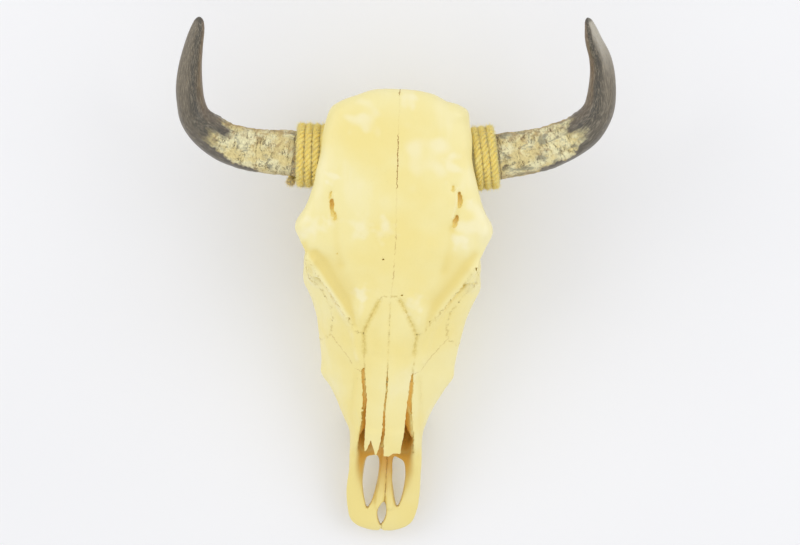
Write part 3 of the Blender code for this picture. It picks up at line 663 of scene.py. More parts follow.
def bar_field(axes, points, radii, flatness=(1, 1, 1)):
    """Distance to a round or flattened bar along a line of points."""
    points, radii, stretch = (np.array(part, dtype=np.float32) for part in (points, radii, flatness))
    most = radii.max() / stretch.min()
    cuts = window(axes, points.min(0) - most, points.max(0) + most)
    grid = stacked(*open_grid(axes, cuts)) * stretch
    best = None
    for a, b, radius_a, radius_b in zip(points * stretch, points[1:] * stretch, radii, radii[1:]):
        side = b - a
        share = np.clip((grid - a) @ side / side.dot(side), 0, 1)
        gap = np.sqrt(((grid - a - share[..., None] * side) ** 2).sum(-1))
        value = gap - (radius_a + share * (radius_b - radius_a))
        best = value if best is None else soft_min(best, value, BAR_ROUNDING)
    return cuts, np.clip(best, -FAR, FAR)


def ball_field(axes, centre, radii):
    cuts = window(axes, np.subtract(centre, radii), np.add(centre, radii))
    value = sum(((line - c) / r) ** 2 for line, c, r in zip(open_grid(axes, cuts), centre, radii))
    return cuts, true_distance(np.sqrt(value + 1e-6) - 1)


def add_form(field, form, rounding):
    cuts, value = form
    field[cuts] = soft_min(field[cuts], value, rounding)


def take_form(field, form, rounding):
    cuts, value = form
    field[cuts] = soft_max(field[cuts], -value, rounding)


def form_alone(axes, form, rounding):
    """A whole grid with one form in it."""
    field = np.full([len(line) for line in axes], FAR, dtype=np.float32)
    add_form(field, form, rounding)
    return field


def cut_from_above(field, plan, floor_z, rounding=0.6):
    """Take away what lies inside the plan outline and above a height, or heights along y."""
    cuts = []
    for across in (1, 0):
        near = np.where((plan < FAR).any(across))[0]
        cuts.append(slice(near[0], near[-1] + 1))
    _, ys, zs = WHOLE
    floor = np.broadcast_to(np.asarray(floor_z, dtype=np.float32), ys.shape)[cuts[1]]
    hole = np.maximum(plan[tuple(cuts)][:, :, None], floor[None, :, None] - zs)
    field[tuple(cuts)] = soft_max(field[tuple(cuts)], -hole, rounding)


# ---------------------------------------------------------------- the bones' fields

def half_skull():
    """The right half of all the bones together, with their hollows and the nose's thin walls."""
    field = np.full([len(line) for line in HALF], FAR, dtype=np.float32)
    for stations, top_power, bottom_power, rounding in BODIES:
        add_form(field, section_field(HALF, stations, top_power, bottom_power), rounding)
    for points, radii, flatness in BARS:
        add_form(field, bar_field(HALF, points, radii, flatness), BAR_JOIN)
    for centre, radii in BALLS:
        add_form(field, ball_field(HALF, centre, radii), BALL_JOIN)
    for stations, top_power, bottom_power, rounding in HOLLOWS:
        take_form(field, section_field(HALF, stations, top_power, bottom_power), rounding)
    for centre, radii, rounding in HOLLOW_BALLS:
        take_form(field, ball_field(HALF, centre, radii), rounding)
    add_form(field, section_field(HALF, NOSE_PLATE, 6.0, 6.0), THIN_JOIN)
    for points, radii, flatness in NOSE_BARS:
        add_form(field, bar_field(HALF, points, radii, flatness), THIN_JOIN)
    return field


def tooth_field():
    """Six crowns, the back ones in two lobes, with crescents worn into the chewing side."""
    across_room, front_room, back_room = CROWN_ROOM
    low = (-TEETH[-1][1] - across_room, TEETH[0][0] - front_room, 0)
    high = (-TEETH[0][1] + across_room, TEETH[-1][0] + back_room, TOOTH_ROOT_Z)
    cuts = window(HALF, low, high)
    x, y, z = open_grid(HALF, cuts)
    best = np.full(np.broadcast_shapes(x.shape, y.shape, z.shape), FAR, dtype=np.float32)
    for middle_y, middle_x, length, width in TEETH:
        lobes = (-0.25, 0.25) if length > MOLAR_LENGTH else (0.0,)
        for lobe in lobes:
            half_length = length / len(lobes) / 2
            across = np.abs(x + middle_x) / (width / 2)
            along = np.abs(y - middle_y - lobe * length) / (half_length + CROWN_OVERLAP)
            round_in_plan = (across ** CROWN_POWER + along ** CROWN_POWER + 1e-4) ** (1 / CROWN_POWER)
            side = (round_in_plan - 1) * half_length * CROWN_SLOPE + (z - CROWN_FULL_Z) * CROWN_TAPER
            crescent = CRESCENT_HALF_WIDTH - np.abs(round_in_plan - CRESCENT_PLACE) * half_length
            worn = np.minimum(CRESCENT_DEPTH, np.maximum(0, crescent) * CRESCENT_STEEPNESS)
            crown = soft_max(side, worn - z, 1.0)
            best = np.minimum(best, np.maximum(crown, z - TOOTH_ROOT_Z))
    return cuts, np.clip(best, -FAR, FAR)


def mirrored_field(field):
    return np.concatenate([field, field[-2::-1]], axis=0)


def small_holes(field):
    """The slots above the eyes and the holes of small vessels, with ragged edges."""
    x, y = WHOLE_PLAN[..., 0], WHOLE_PLAN[..., 1]
    ragged = waves(WHOLE_PLAN, 4.0, 31) * 0.35
    for line, floor_z in BROW_SLOTS:
        cut_from_above(field, plan_of_line(WHOLE_PLAN, line) + ragged, floor_z, 2.0)
    for middle_x, middle_y, half_x, half_y, floor_z in VESSEL_HOLES:
        spread = np.hypot((x - middle_x) / half_x, (y - middle_y) / half_y)
        cut_from_above(field, (spread - 1) * min(half_x, half_y), floor_z)


def rope_axis(side):
    start, direction = (np.array(part) for part in ROPE_AXES[side])
    return start, direction / np.linalg.norm(direction)


def pedicle_field(side):
    """The round stump of bone that carries a horn and its rope."""
    start, direction = rope_axis(side)
    inner_length = abs(start[0]) - PEDICLE_START_X
    ends = np.array([start - direction * inner_length, start + direction * PEDICLE_LENGTH[side]])
    cuts = window(WHOLE, ends.min(0) - PEDICLE_RADIUS, ends.max(0) + PEDICLE_RADIUS)
    grid = stacked(*open_grid(WHOLE, cuts)) - start
    along = grid @ direction
    away = np.sqrt(np.maximum((grid ** 2).sum(-1) - along ** 2, 0))
    past_end = np.maximum(along - PEDICLE_LENGTH[side], -along - inner_length)
    return cuts, np.clip(np.maximum(away - PEDICLE_RADIUS, past_end), -FAR, FAR).astype(np.float32)


def between_levels(lower, upper, levels, z):
    """A suture's course at each height, from its lower line to its upper one."""
    share = np.clip((z - levels[0]) / (levels[1] - levels[0]), 0, 1)
    return lower[:, :, None] * (1 - share) + upper[:, :, None] * share


def regions():
    """For each kind of bone a field that is negative where that bone may be."""
    _, y, z = open_grid(WHOLE)
    ahead = [AHEAD_LEFT, AHEAD_RIGHT]
    jaw = between_levels(jagged(HALF_PLAN, ahead + JAW_TO_PALATE, 9, 0.5, 1),
                         jagged(HALF_PLAN, ahead + JAW_TO_FRONTAL, 6, 0.7, 2), JAW_LEVELS, z)
    premaxilla = between_levels(jagged(HALF_PLAN, PREMAXILLA_BOTTOM, 8, 0.4, 3),
                                jagged(HALF_PLAN, PREMAXILLA_TOP, 8, 0.4, 4), PREMAXILLA_LEVELS, z)
    heights = np.maximum(CHEEK_BOTTOM - z, z - read_table(CHEEK_TOP, y))
    cheek = np.maximum(jagged(HALF_PLAN, CHEEK_EDGE, 7, 0.8, 5)[:, :, None], heights)
    made = {kind: mirrored_field(value.astype(np.float32))
            for kind, value in (("jaw", jaw), ("premaxilla", premaxilla), ("cheek", cheek))}
    for side, outline in (("right", NASAL_RIGHT), ("left", NASAL_LEFT)):
        plan = jagged(WHOLE_PLAN, outline, 6, 0.25, 6)[:, :, None]
        made["nasal_" + side] = np.maximum(plan, NASAL_FLOOR_Z - z)
    return made


def shared_fields():
    """Fields that all the bones share.

    They are the solid, the same with its front dished, the nose's hollow, the dish, and the teeth.
    """
    field = half_skull()
    front = field.copy()
    dish = section_field(HALF, FRONT_DISH, 3.0, 1.55)
    take_form(front, dish, DISH_JOIN)
    nose = form_alone(HALF, section_field(HALF, NASAL_CAVITY, 2.0, 3.0), 1.0)
    teeth = form_alone(HALF, tooth_field(), 0.5)
    halves = (field, front, nose, form_alone(HALF, dish, 1.0), teeth)
    field, front, nose, dished, teeth = (mirrored_field(part) for part in halves)
    for points, radii in PALATE_BARS:
        add_form(front, bar_field(WHOLE, points, radii), THIN_JOIN)
    for grid in (field, front):
        add_form(grid, ball_field(WHOLE, *POLL_CORNER), BAR_JOIN)
    return field, front, nose, dished, teeth


def nasal_roof(field):
    """The nasal bones' solid: the skull's, with their free ends carried on over the nose."""
    ends = form_alone(WHOLE, section_field(WHOLE, NASAL_TOP, 2.4, 2.6), 1.0)
    take_form(ends, section_field(WHOLE, NASAL_UNDERSIDE, 2.6, 3.0), 1.0)
    return soft_min(field, ends, ROOF_JOIN)


def all_limits(*limits):
    return np.maximum.reduce(np.broadcast_arrays(*limits))


def bone_fields(field, front, teeth):
    """Each bone's name, the solid it is cut from, and the limit that cuts it out."""
    x, y, z = open_grid(WHOLE)
    area = regions()
    past_nasals = SEAM - np.minimum(area["nasal_right"], area["nasal_left"])
    past_jaw, past_cheek = SEAM - area["jaw"], SEAM - area["cheek"]
    bend = read_table(NOSE_MIDLINE, y)
    shift = ROOF_SHIFT * smooth_step(z, 84, 92) * smooth_step(y, -212, -202)
    opened = front.copy()
    cut_from_above(opened, jagged(WHOLE_PLAN, APERTURE, 5, 0.5, 7), read_table(APERTURE_FLOOR, WHOLE[1]))
    add_form(opened, bar_field(WHOLE, *SLIT_STRIP), 1.0)
    palate = opened.copy()
    for outline in (FISSURE_RIGHT, FISSURE_LEFT, INTERINCISIVE, TIP_NOTCH):
        cut_from_above(palate, plan_distance(WHOLE_PLAN, rounded(outline)), BELOW_ALL, 3.0)
    jaw = np.maximum(np.minimum(opened, teeth), -z)
    roof = nasal_roof(field)
    for side, turn in (("right", 1), ("left", -1)):
        inner = turn * (x - shift) + SEAM
        yield "upper_jaw_" + side, jaw, all_limits(
            area["jaw"] + SEAM, SEAM - area["premaxilla"], past_cheek, past_nasals, inner)
        inner = turn * (x - bend - shift) + SEAM
        yield "premaxilla_" + side, palate, all_limits(area["premaxilla"] + SEAM, past_nasals, inner)
        yield "cheekbone_" + side, field, np.maximum(area["cheek"] + SEAM, turn * x)
        yield "nasal_" + side, roof, area["nasal_" + side] + SEAM
    cranium = np.maximum(field, -z)
    for side in SIDES:
        add_form(cranium, pedicle_field(side), 2.0)
    yield "cranium", cranium, all_limits(past_jaw, past_cheek, past_nasals)


# ---------------------------------------------------------------- skins

CORNERS = np.array([(0, 0, 0), (1, 0, 0), (0, 1, 0), (1, 1, 0), (0, 0, 1), (1, 0, 1), (0, 1, 1), (1, 1, 1)])
EDGES = [(0, 1), (2, 3), (4, 5), (6, 7), (0, 2), (1, 3), (4, 6), (5, 7), (0, 4), (1, 5), (2, 6), (3, 7)]


def skin(field):
    """Points and four-sided faces of the surface where the field is zero.

    Each grid cell that the surface crosses gets one point, in the middle of the places
    where it crosses the cell's edges, and each crossed grid line joins four of them.
    """
    near = field < STEP * 2
    bounds = []
    for axis, others in enumerate(((1, 2), (0, 2), (0, 1))):
        used = np.where(near.any(others))[0]
        bounds.append((max(0, used[0] - 1), min(field.shape[axis], used[-1] + 2)))
    part = np.pad(field[tuple(slice(a, b) for a, b in bounds)], 1, constant_values=FAR)
    inside = part < 0
    cell_shape = tuple(size - 1 for size in part.shape)
    counted = np.zeros(cell_shape, dtype=np.int8)
    for corner in CORNERS:
        counted += inside[tuple(slice(c, c + size) for c, size in zip(corner, cell_shape))]
    cells = np.argwhere((counted > 0) & (counted < 8))
    values = np.stack([part[tuple((cells + corner).T)] for corner in CORNERS], axis=1)
    total = np.zeros((len(cells), 3))
    crossings = np.zeros(len(cells))
    for a, b in EDGES:
        crosses = (values[:, a] < 0) != (values[:, b] < 0)
        share = np.where(crosses, values[:, a] / np.where(crosses, values[:, a] - values[:, b], 1), 0)
        place = CORNERS[a] + share[:, None] * (CORNERS[b] - CORNERS[a])
        total += place * crosses[:, None]
        crossings += crosses
    origin = np.array([line[0] + (low - 1) * STEP for line, (low, _) in zip(WHOLE, bounds)])
    points = origin + (cells + total / crossings[:, None]) * STEP
    number = np.full(cell_shape, -1, dtype=np.int64)
    number[tuple(cells.T)] = np.arange(len(cells))
    faces = []
    for axis in range(3):
        crossed = np.argwhere(np.diff(inside, axis=axis))
        corners = []
        for back in ((1, 1), (0, 1), (0, 0), (1, 0)):
            cell = crossed.copy()
            cell[:, (axis + 1) % 3] -= back[0]
            cell[:, (axis + 2) % 3] -= back[1]
            corners.append(number[tuple(cell.T)])
        quads = np.stack(corners, axis=1)
        ends_inside = ~inside[tuple(crossed.T)]
        quads[ends_inside] = quads[ends_inside][:, ::-1]
        faces.append(quads)
    return points, np.concatenate(faces)


def read_grid(values, points):
    """Read a grid at points between its lines, and the slope there."""
    lows, shares = [], []
    for line, column, size in zip(WHOLE, points.T, values.shape):
        spot = (column - line[0]) / STEP
        low = np.clip(spot.astype(int), 0, size - 2)
        lows.append(low)
        shares.append(np.clip(spot - low, 0, 1))
    a, b, c = shares
    corner = {(i, j, k): values[lows[0] + i, lows[1] + j, lows[2] + k].astype(float)
              for i in (0, 1) for j in (0, 1) for k in (0, 1)}
    rise = {(j, k): corner[1, j, k] - corner[0, j, k] for j in (0, 1) for k in (0, 1)}
    flat = {(j, k): corner[0, j, k] + a * rise[j, k] for j, k in rise}
    near = flat[0, 0] + b * (flat[1, 0] - flat[0, 0])
    far = flat[0, 1] + b * (flat[1, 1] - flat[0, 1])
    slope_x = ((1 - b) * ((1 - c) * rise[0, 0] + c * rise[0, 1])
               + b * ((1 - c) * rise[1, 0] + c * rise[1, 1]))
    slope_y = (1 - c) * (flat[1, 0] - flat[0, 0]) + c * (flat[1, 1] - flat[0, 1])
    return near + c * (far - near), np.stack([slope_x, slope_y, far - near], axis=1) / STEP


def towards_zero(points, values):
    """The step that brings each point onto the surface where the grid is zero."""
    value, slope = read_grid(values, points)
    return value, -slope * (value / np.maximum((slope ** 2).sum(1), 0.05))[:, None]


def settled(points, solid, limit):
    """Move points onto the solid's surface or onto the cut, and those by an edge onto the edge."""
    for _ in range(3):
        on_solid, to_solid = towards_zero(points, solid)
        on_limit, to_limit = towards_zero(points, limit)
        move = np.where((on_solid > on_limit)[:, None], to_solid, to_limit)
        by_edge = (np.abs(on_solid) < EDGE_REACH * STEP) & (np.abs(on_limit) < EDGE_REACH * STEP)
        move[by_edge] = 0
        length = np.linalg.norm(move, axis=1)
        points = points + move * np.minimum(1, MOST_MOVE * STEP / np.maximum(length, 1e-9))[:, None]
        start = edge = points[by_edge]
        for values in (solid, limit):
            edge = edge + towards_zero(edge, values)[1]
        far_off = np.linalg.norm(edge - start, axis=1) > MOST_EDGE_MOVE * STEP
        points[by_edge] = np.where(far_off[:, None], start, edge)
    return points


def box_blur(values, reach):
    for axis in range(3):
        pad = [(0, 0)] * 3
        pad[axis] = (reach + 1, reach)
        total = np.cumsum(np.pad(values, pad, mode="edge"), axis=axis, dtype=np.float32)
        size = values.shape[axis]
        ahead = np.take(total, np.arange(2 * reach + 1, 2 * reach + 1 + size), axis=axis)
        behind = np.take(total, np.arange(size), axis=axis)
        values = (ahead - behind) / (2 * reach + 1)
    return values


def filled_share(solid, reach):
    """How much of the space within some millimetres is solid."""
    steps = round(reach / STEP)
    return box_blur(box_blur(solid, steps), steps)


def mesh_object(name, points, faces, attributes, material, node):
    """A smooth mesh in the CAD's frame that stands for one of its nodes."""
    mesh = bpy.data.meshes.new(name)
    placed = (points + (MIDLINE_X, SOCKET_Y, 0)) * MM
    mesh.vertices.add(len(placed))
    mesh.vertices.foreach_set("co", placed.astype(np.float32).ravel())
    mesh.loops.add(faces.size)
    mesh.loops.foreach_set("vertex_index", faces.astype(np.int32).ravel())
    mesh.polygons.add(len(faces))
    mesh.polygons.foreach_set("loop_start", np.arange(0, faces.size, faces.shape[1], dtype=np.int32))
    mesh.update(calc_edges=True)
    mesh.validate()
    mesh.shade_smooth()
    for title, values in attributes.items():
        kind, field = ("FLOAT_VECTOR", "vector") if values.ndim == 2 else ("FLOAT", "value")
        made = mesh.attributes.new(title, kind, "POINT")
        made.data.foreach_set(field, values.astype(np.float32).ravel())
    mesh.materials.append(material)
    made = bpy.data.objects.new(name, mesh)
    bpy.context.scene.collection.objects.link(made)
    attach(made, "root")
    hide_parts(node)
    return made


# ---------------------------------------------------------------- bones

def ridges(points, lines):
    """For each line along the surface, how near each point is to it, from 0 to 1."""
    return [np.exp(-(line_distance(points, line)[0] / width) ** 2) for line, width, _ in lines]


def carved(points):
    """How far the lines along the surface raise or lower it."""
    total = np.zeros(len(points))
    for (_, _, rise), nearness in zip(SURFACE_LINES, ridges(points, SURFACE_LINES)):
        total += rise * nearness
    return total


def sculpted(points, field):
    """Swells of living bone all over, and the ridges and grooves of the upper side."""
    _, slope = read_grid(field, points)
    outward = slope / np.maximum(np.linalg.norm(slope, axis=1), 0.2)[:, None]
    lift = sum(height * waves(points, wavelength, seed) for height, wavelength, seed in SWELLS)
    lift += carved(points) * np.clip(outward[:, 2] * 2 - 0.3, 0, 1)
    height = np.clip(points[:, 2] / FOOT_HEIGHT, 0, 1)
    return points + outward * (lift * height)[:, None]


def lopsided(points):
    """The living skull's unevenness: a narrower right temple and a nose bent a little left."""
    moved = points.copy()
    for axis, distance, steps in UNEVEN:
        share = np.full(len(points), distance)
        for across, start, end in steps:
            share = share * smooth_step(points[:, across], start, end)
        moved[:, axis] += share
    return moved


def pale_spotted(points):
    """Pale spots of the upper side."""
    total = np.zeros(len(points))
    for x, y, reach in PALE_SPOTS:
        away = np.hypot(points[:, 0] - x, points[:, 1] - y)
        total = np.maximum(total, smooth_step(away + 0.25 * reach * waves(points, 0.8 * reach, 81), reach, 0))
    return total * (points[:, 2] > PALE_SPOTS_Z)


def inside_share(node, points, nose, dish, buried):
    """How far inside the nose a point lies, for its painted shade, fading out towards the front of the
    palate.
    """
    away = read_grid(nose, points)[0]
    if "nasal" in node:
        return smooth_step(away, 2.4, 0.6)
    x, y, z = points.T
    below_rim = read_table(RIM_HEIGHT, y) - z + 15 * smooth_step(np.abs(x), 22, 14)
    reach = 3.6 + 7 * smooth_step(y, -182, -194)
    share = np.maximum(smooth_step(away, reach, 0.4), smooth_step(read_grid(dish, points)[0], 5.0, 0.0))
    share *= smooth_step(below_rim, 0, 15)
    beside_slit = smooth_step(y, -95, -110) * smooth_step(np.abs(x), 46, 40)
    share = np.maximum(share, smooth_step(buried, 0.6, 2.4) * beside_slit)
    return share * smooth_step(y, -286, -205)


def crack_attributes(node, points):
    """Where a painted seam runs over the bone, and how dark it is from place to place."""
    crack, stretches, faint = MIDLINE_CRACK, (), 0.0
    if node == "cranium":
        stretches, faint = MIDLINE_DARK, 0.12
    elif "jaw" in node:
        crack, faint = CHEEK_SEAM, 0.3
    elif "premaxilla" in node:
        crack, stretches = [(x, y) for y, x in NOSE_MIDLINE], NOSE_DARK
    if node == "upper_jaw_left":
        crack = [(-x, y) for x, y in crack]
    gap, side = line_distance(points, crack)
    strength = np.full(len(points), faint)
    for low, high, dark in stretches:
        present = smooth_step(points[:, 1], low - 4, low) * smooth_step(points[:, 1], high + 4, high)
        strength = np.maximum(strength, dark * present)
    groove = np.maximum.reduce(ridges(points, SURFACE_LINES[:2]))
    return {"seam": np.clip(gap * side, -8, 8), "seam_strength": strength, "groove": groove}


def make_bones(material):
    field, front, nose, dish, teeth = shared_fields()
    whole = front.copy()
    for grid in (field, front):
        small_holes(grid)
    solid = (front < 0).astype(np.float32)
    # shares of solid round each point: painted shade in hollows, painted light and shade on swells
    filled, swell_light_and_shade_fill = filled_share(solid, HOLLOW_SHADE_REACH), filled_share(solid, SWELL_LIGHT_REACH)
    guides = {False: box_blur(np.minimum(front, teeth), 2), True: box_blur(nasal_roof(field), 2)}
    for node, solid, limit in bone_fields(field, front, teeth):
        points, faces = skin(np.maximum(solid, limit))
        points = settled(points, solid, limit)
        _, y, z = points.T
        from_teeth, outside, near, broad, over_cut = (
            read_grid(grid, points)[0] for grid in (teeth, whole, filled, swell_light_and_shade_fill, limit))
        tooth = smooth_step(from_teeth, 1.0, 0.0) * smooth_step(z, 20, 16)
        buried = np.clip(-outside, 0, FAR) * (1 - tooth) * smooth_step(y, -205, -175)
        attributes = {
            # hollow: share of solid bone near a point, for the painted shade in hollows
            "hollow": near,
            # swell: painted light and shade, paler where the bone swells out, deeper yellow in broad hollows
            # and towards the front of the nose
            "swell": (0.5 - broad) * smooth_step(y, -90, -40) - 0.3 * smooth_step(y, -190, -230),
            "pale_spotted": pale_spotted(points),
            # inside: share of the amber painted shade in the nose, under the nasal bones and beside their
            # slit
            "inside": inside_share(node, points, nose, dish, buried),
            # depth: how far below the outer surface a point lies, for the painted shade in slots and holes
            "depth": buried,
            "tooth": tooth,
            # carved: the lines' rise, lowered over the front of the nose, for painted shade in grooves and
            # there and painted light on ridges
            "carved": carved(points) - 1.3 * smooth_step(y, -205, -235),
            "border": smooth_step(over_cut, -1.7, -0.1) * smooth_step(y, -126, -112),
            **crack_attributes(node, points),
        }
        points = lopsided(sculpted(points, guides["nasal" in node]))
        points[:, 2] = np.maximum(points[:, 2], 0)
        made = mesh_object(node + "_bone", points, faces, attributes, material, node)
        made.data.set_sharp_from_angle(angle=SHARP_ANGLE)


# ---------------------------------------------------------------- horns

def curve_through(stations, steps):
    """Stations (x, y, z, radius) and the points between them on a smooth curve."""
    ends = np.array([stations[0], *stations, stations[-1]])
    t = np.arange(steps)[:, None] / steps
    pieces = [b + 0.5 * t * (c - a + t * (2 * a - 5 * b + 4 * c - d + t * (3 * (b - c) + d - a)))
              for a, b, c, d in zip(ends, ends[1:], ends[2:], ends[3:])]
    return np.concatenate([*pieces, ends[-1:]])


def lengths_along(points):
    return np.concatenate([[0], np.cumsum(np.linalg.norm(np.diff(points, axis=0), axis=1))])


def even_steps(points, count):
    """The same curve read at even distances along it."""
    lengths = lengths_along(points[:, :3])
    wanted = np.linspace(0, lengths[-1], count)
    return np.stack([np.interp(wanted, lengths, column) for column in points.T], axis=1), wanted


def sweep_frames(centres):
    """Two directions across a curve at each point, which don't twist along it."""
    ahead = unit(np.gradient(centres, axis=0))
    first = np.zeros_like(centres)
    across = np.cross(ahead[0], (0, 0, 1.0))
    for i, direction in enumerate(ahead):
        across = across - direction * across.dot(direction)
        across /= np.linalg.norm(across)
        first[i] = across
    return first, np.cross(ahead, first)


def spokes(first, second, angles):
    """Directions round each point of a curve, from its two directions across."""
    return first[:, None] * np.cos(angles)[..., None] + second[:, None] * np.sin(angles)[..., None]


def ring_angles(sides):
    return np.linspace(0, 2 * math.pi, sides, endpoint=False)


def grid_faces(rings, sides):
    """Four-sided faces between rings of points, each ring closed on itself."""
    ring = np.arange(rings - 1)[:, None]
    side = np.arange(sides)[None, :]
    following = (side + 1) % sides
    corners = (ring * sides + side, ring * sides + following,
               (ring + 1) * sides + following, (ring + 1) * sides + side)
    return stacked(*corners).reshape(-1, 4)


def close_ends(mesh, rings, sides):
    """Join the first and the last ring to the two points that follow the rings."""
    bm = bmesh.new()
    bm.from_mesh(mesh)
    bm.verts.ensure_lookup_table()
    start, end = bm.verts[rings * sides], bm.verts[rings * sides + 1]
    last = (rings - 1) * sides
    for k in range(sides):
        following = (k + 1) % sides
        near = bm.faces.new((bm.verts[following], bm.verts[k], start))
        far = bm.faces.new((bm.verts[last + k], bm.verts[last + following], end))
        near.smooth = far.smooth = True
    bmesh.ops.recalc_face_normals(bm, faces=bm.faces)
    bm.to_mesh(mesh)
    bm.free()


def horn_relief(own, length):
    """Flakes, rings, dents and grooves of old horn, which fade out towards the tip."""
    along = own[..., 0]
    worn = smooth_step(along - 1.3 * own[..., 1], *HORN_WORN_END)
    relief = worn * sum(height * waves(own * stretch, wavelength, seed)
                        for height, stretch, wavelength, seed in HORN_FLAKES)
    relief -= worn * HORN_DENT_DEPTH * np.clip(waves(own * (1, 0.6, 0.6), 12, 45) - 1.0, 0, 1)
    relief += HORN_GROOVE_HEIGHT * waves(own * (0.10, 1, 1), 8, 44)
    collar = smooth_step(along, *HORN_COLLAR_END)
    relief += collar * (0.35 * waves(own * (0.5, 1, 1), 7, 46) - 0.2)
    return relief * np.clip((length - along) / 20, 0, 1)


def make_horn(side, material):
    """A sheath with flaking rings near its base that grows smooth towards the tip."""
    start, direction = rope_axis(side)
    base = start + direction * (PEDICLE_LENGTH[side] + HORN_GAP)
    square_end = base + direction * HORN_SQUARE_LENGTH
    stations = [(*base, HORN_BASE_RADIUS), (*square_end, HORN_BASE_RADIUS), *HORN_STATIONS[side]]
    curve, along = even_steps(curve_through(stations, HORN_CURVE_STEPS), HORN_RINGS)
    centres, radii = curve[:, :3], curve[:, 3]
    length = along[-1]
    past_round = ((along - (length - HORN_TIP_LENGTH)) / HORN_TIP_LENGTH).clip(0, 1)
    radii = np.maximum(radii * np.sqrt(1 - past_round ** 2), HORN_LEAST_RADIUS)
    angles = ring_angles(HORN_SIDES)
    inward, is_left, shift = (1, 0.0, 0.0) if side == "right" else (-1, 1.0, LEFT_HORN_SHIFT)
    own = stacked(along[:, None], inward * radii[:, None] * np.cos(angles), -radii[:, None] * np.sin(angles))
    relief = horn_relief(own + (0, 0, shift), length) * np.clip(along / 3, 0.2, 1)[:, None]
    shell = centres[:, None] + spokes(*sweep_frames(centres), angles) * (radii[:, None] + relief)[..., None]
    points = np.concatenate([shell.reshape(-1, 3), centres[:1], centres[-1:]])
    own_points = np.concatenate([own.reshape(-1, 3), [[0, 0, 0]], [[length, 0, 0]]])
    attributes = {
        "horn_place": own_points,
        "from_tip": length - own_points[:, 0],
        "bend_side": own_points[:, 1] / np.maximum(np.hypot(own_points[:, 1], own_points[:, 2]), 1e-6),
        "is_left": np.full(len(points), is_left),
    }
    made = mesh_object("horn_" + side + "_sheath", points, grid_faces(HORN_RINGS, HORN_SIDES),
                       attributes, material, "horn_" + side)
    close_ends(made.data, HORN_RINGS, HORN_SIDES)


# ---------------------------------------------------------------- ropes

def rope_advance(side, turn):
    """How far along its axis a rope has come: little on the front half of a turn, more behind."""
    whole = np.floor(turn)
    share = turn - whole
    stepped = ROPE_EVEN_ADVANCE * share + (1 - ROPE_EVEN_ADVANCE) * smooth_step(2 * share - 1, 0, 1)
    drift = ROPE_TAIL_DRIFT * smooth_step((turn - ROPE_TAIL_TURN[side]) / ROPE_TAIL_LENGTH, 0, 1)
    return ROPE_PITCH * (whole + stepped) + drift


def coil(side, wound):
    """Points of a rope's middle line after so many turns, and the direction out of the coil."""
    start, direction = rope_axis(side)
    across = np.array([-direction[1], direction[0], 0])
    up = np.array([0, 0, 1.0])
    turn = ROPE_START_TURN[side] + wound
    angle = 2 * math.pi * turn
    out = across * np.cos(angle)[:, None] + up * np.sin(angle)[:, None]
    centres = start + direction * rope_advance(side, turn)[:, None] + out * ROPE_COIL_RADIUS
    return centres, out


def rope_frames(side, wound):
    """Points of a rope's middle line with three directions: ahead, out of the coil, and sideways."""
    centres, out = coil(side, wound)
    ahead = unit(coil(side, wound + 0.002)[0] - coil(side, wound - 0.002)[0])
    out = unit(out - ahead * (out * ahead).sum(1)[:, None])
    return centres, ahead, out, np.cross(ahead, out)


def make_strands(side, material):
    """Three strands of a few yarns each, twisted together and wound round the horn's base."""
    count = round(ROPE_TURNS[side] * ROPE_POINTS_PER_TURN)
    centres, _, out, beside = rope_frames(side, np.linspace(0, ROPE_TURNS[side], count))
    lengths = lengths_along(centres)
    to_end = np.minimum(lengths, lengths[-1] - lengths)
    angles = ring_angles(STRAND_SIDES)
    yarn = 0.97 + 0.07 * np.abs(np.sin(YARNS / 2 * angles))
    points, faces, places = [], [], []
    for strand in range(STRANDS):
        phase = 2 * math.pi * (lengths / STRAND_LAY + strand / STRANDS)
        turn_out = out * np.cos(phase)[:, None] + beside * np.sin(phase)[:, None]
        line = centres + turn_out * STRAND_OFFSET
        plump = 1 + 0.07 * waves(stacked(lengths, np.float64(40 * strand)), 12, 51)
        plump *= STRAND_RADIUS * np.sqrt(np.clip(to_end / ROPE_END_TAPER, 1e-4, 1))
        ring = angles[None, :] - YARN_TWIST * phase[:, None]
        shell = line[:, None] + spokes(*sweep_frames(line), ring) * (plump[:, None] * yarn)[..., None]
        place = stacked(lengths[:, None], angles[None, :] * STRAND_RADIUS, np.float64(strand * 50))
        points.append(shell.reshape(-1, 3))
        places.append(place.reshape(-1, 3))
        faces.append(grid_faces(count, STRAND_SIDES) + strand * count * STRAND_SIDES)
    mesh_object("rope_" + side + "_strands", np.concatenate(points), np.concatenate(faces),
                {"rope_place": np.concatenate(places)}, material, "rope_" + side)


def whiskers(kind, side, roots, ways, bends, reach, radius, material):
    """Short bent hairs with three sides, from their roots along their ways."""
    share = np.linspace(0, 1, WHISKER_RINGS)
    lines = roots[:, None] + reach[:, None, None] * (
        ways[:, None] * share[None, :, None] + bends[:, None] * (share ** 2)[None, :, None])
    across = np.cross(ways, bends)
    across /= np.maximum(np.linalg.norm(across, axis=1), 1e-6)[:, None]
    round_way = spokes(np.cross(ways, across), across, ring_angles(3))
    taper = radius * (1 - 0.75 * share)
    shells = lines[:, :, None] + round_way[:, None] * taper[None, :, None, None]
    firsts = np.arange(len(roots))[:, None, None] * WHISKER_RINGS * 3
    faces = (firsts + grid_faces(WHISKER_RINGS, 3)[None]).reshape(-1, 4)
    mesh_object("rope_" + side + kind, shells.reshape(-1, 3), faces, {}, material, "rope_" + side)


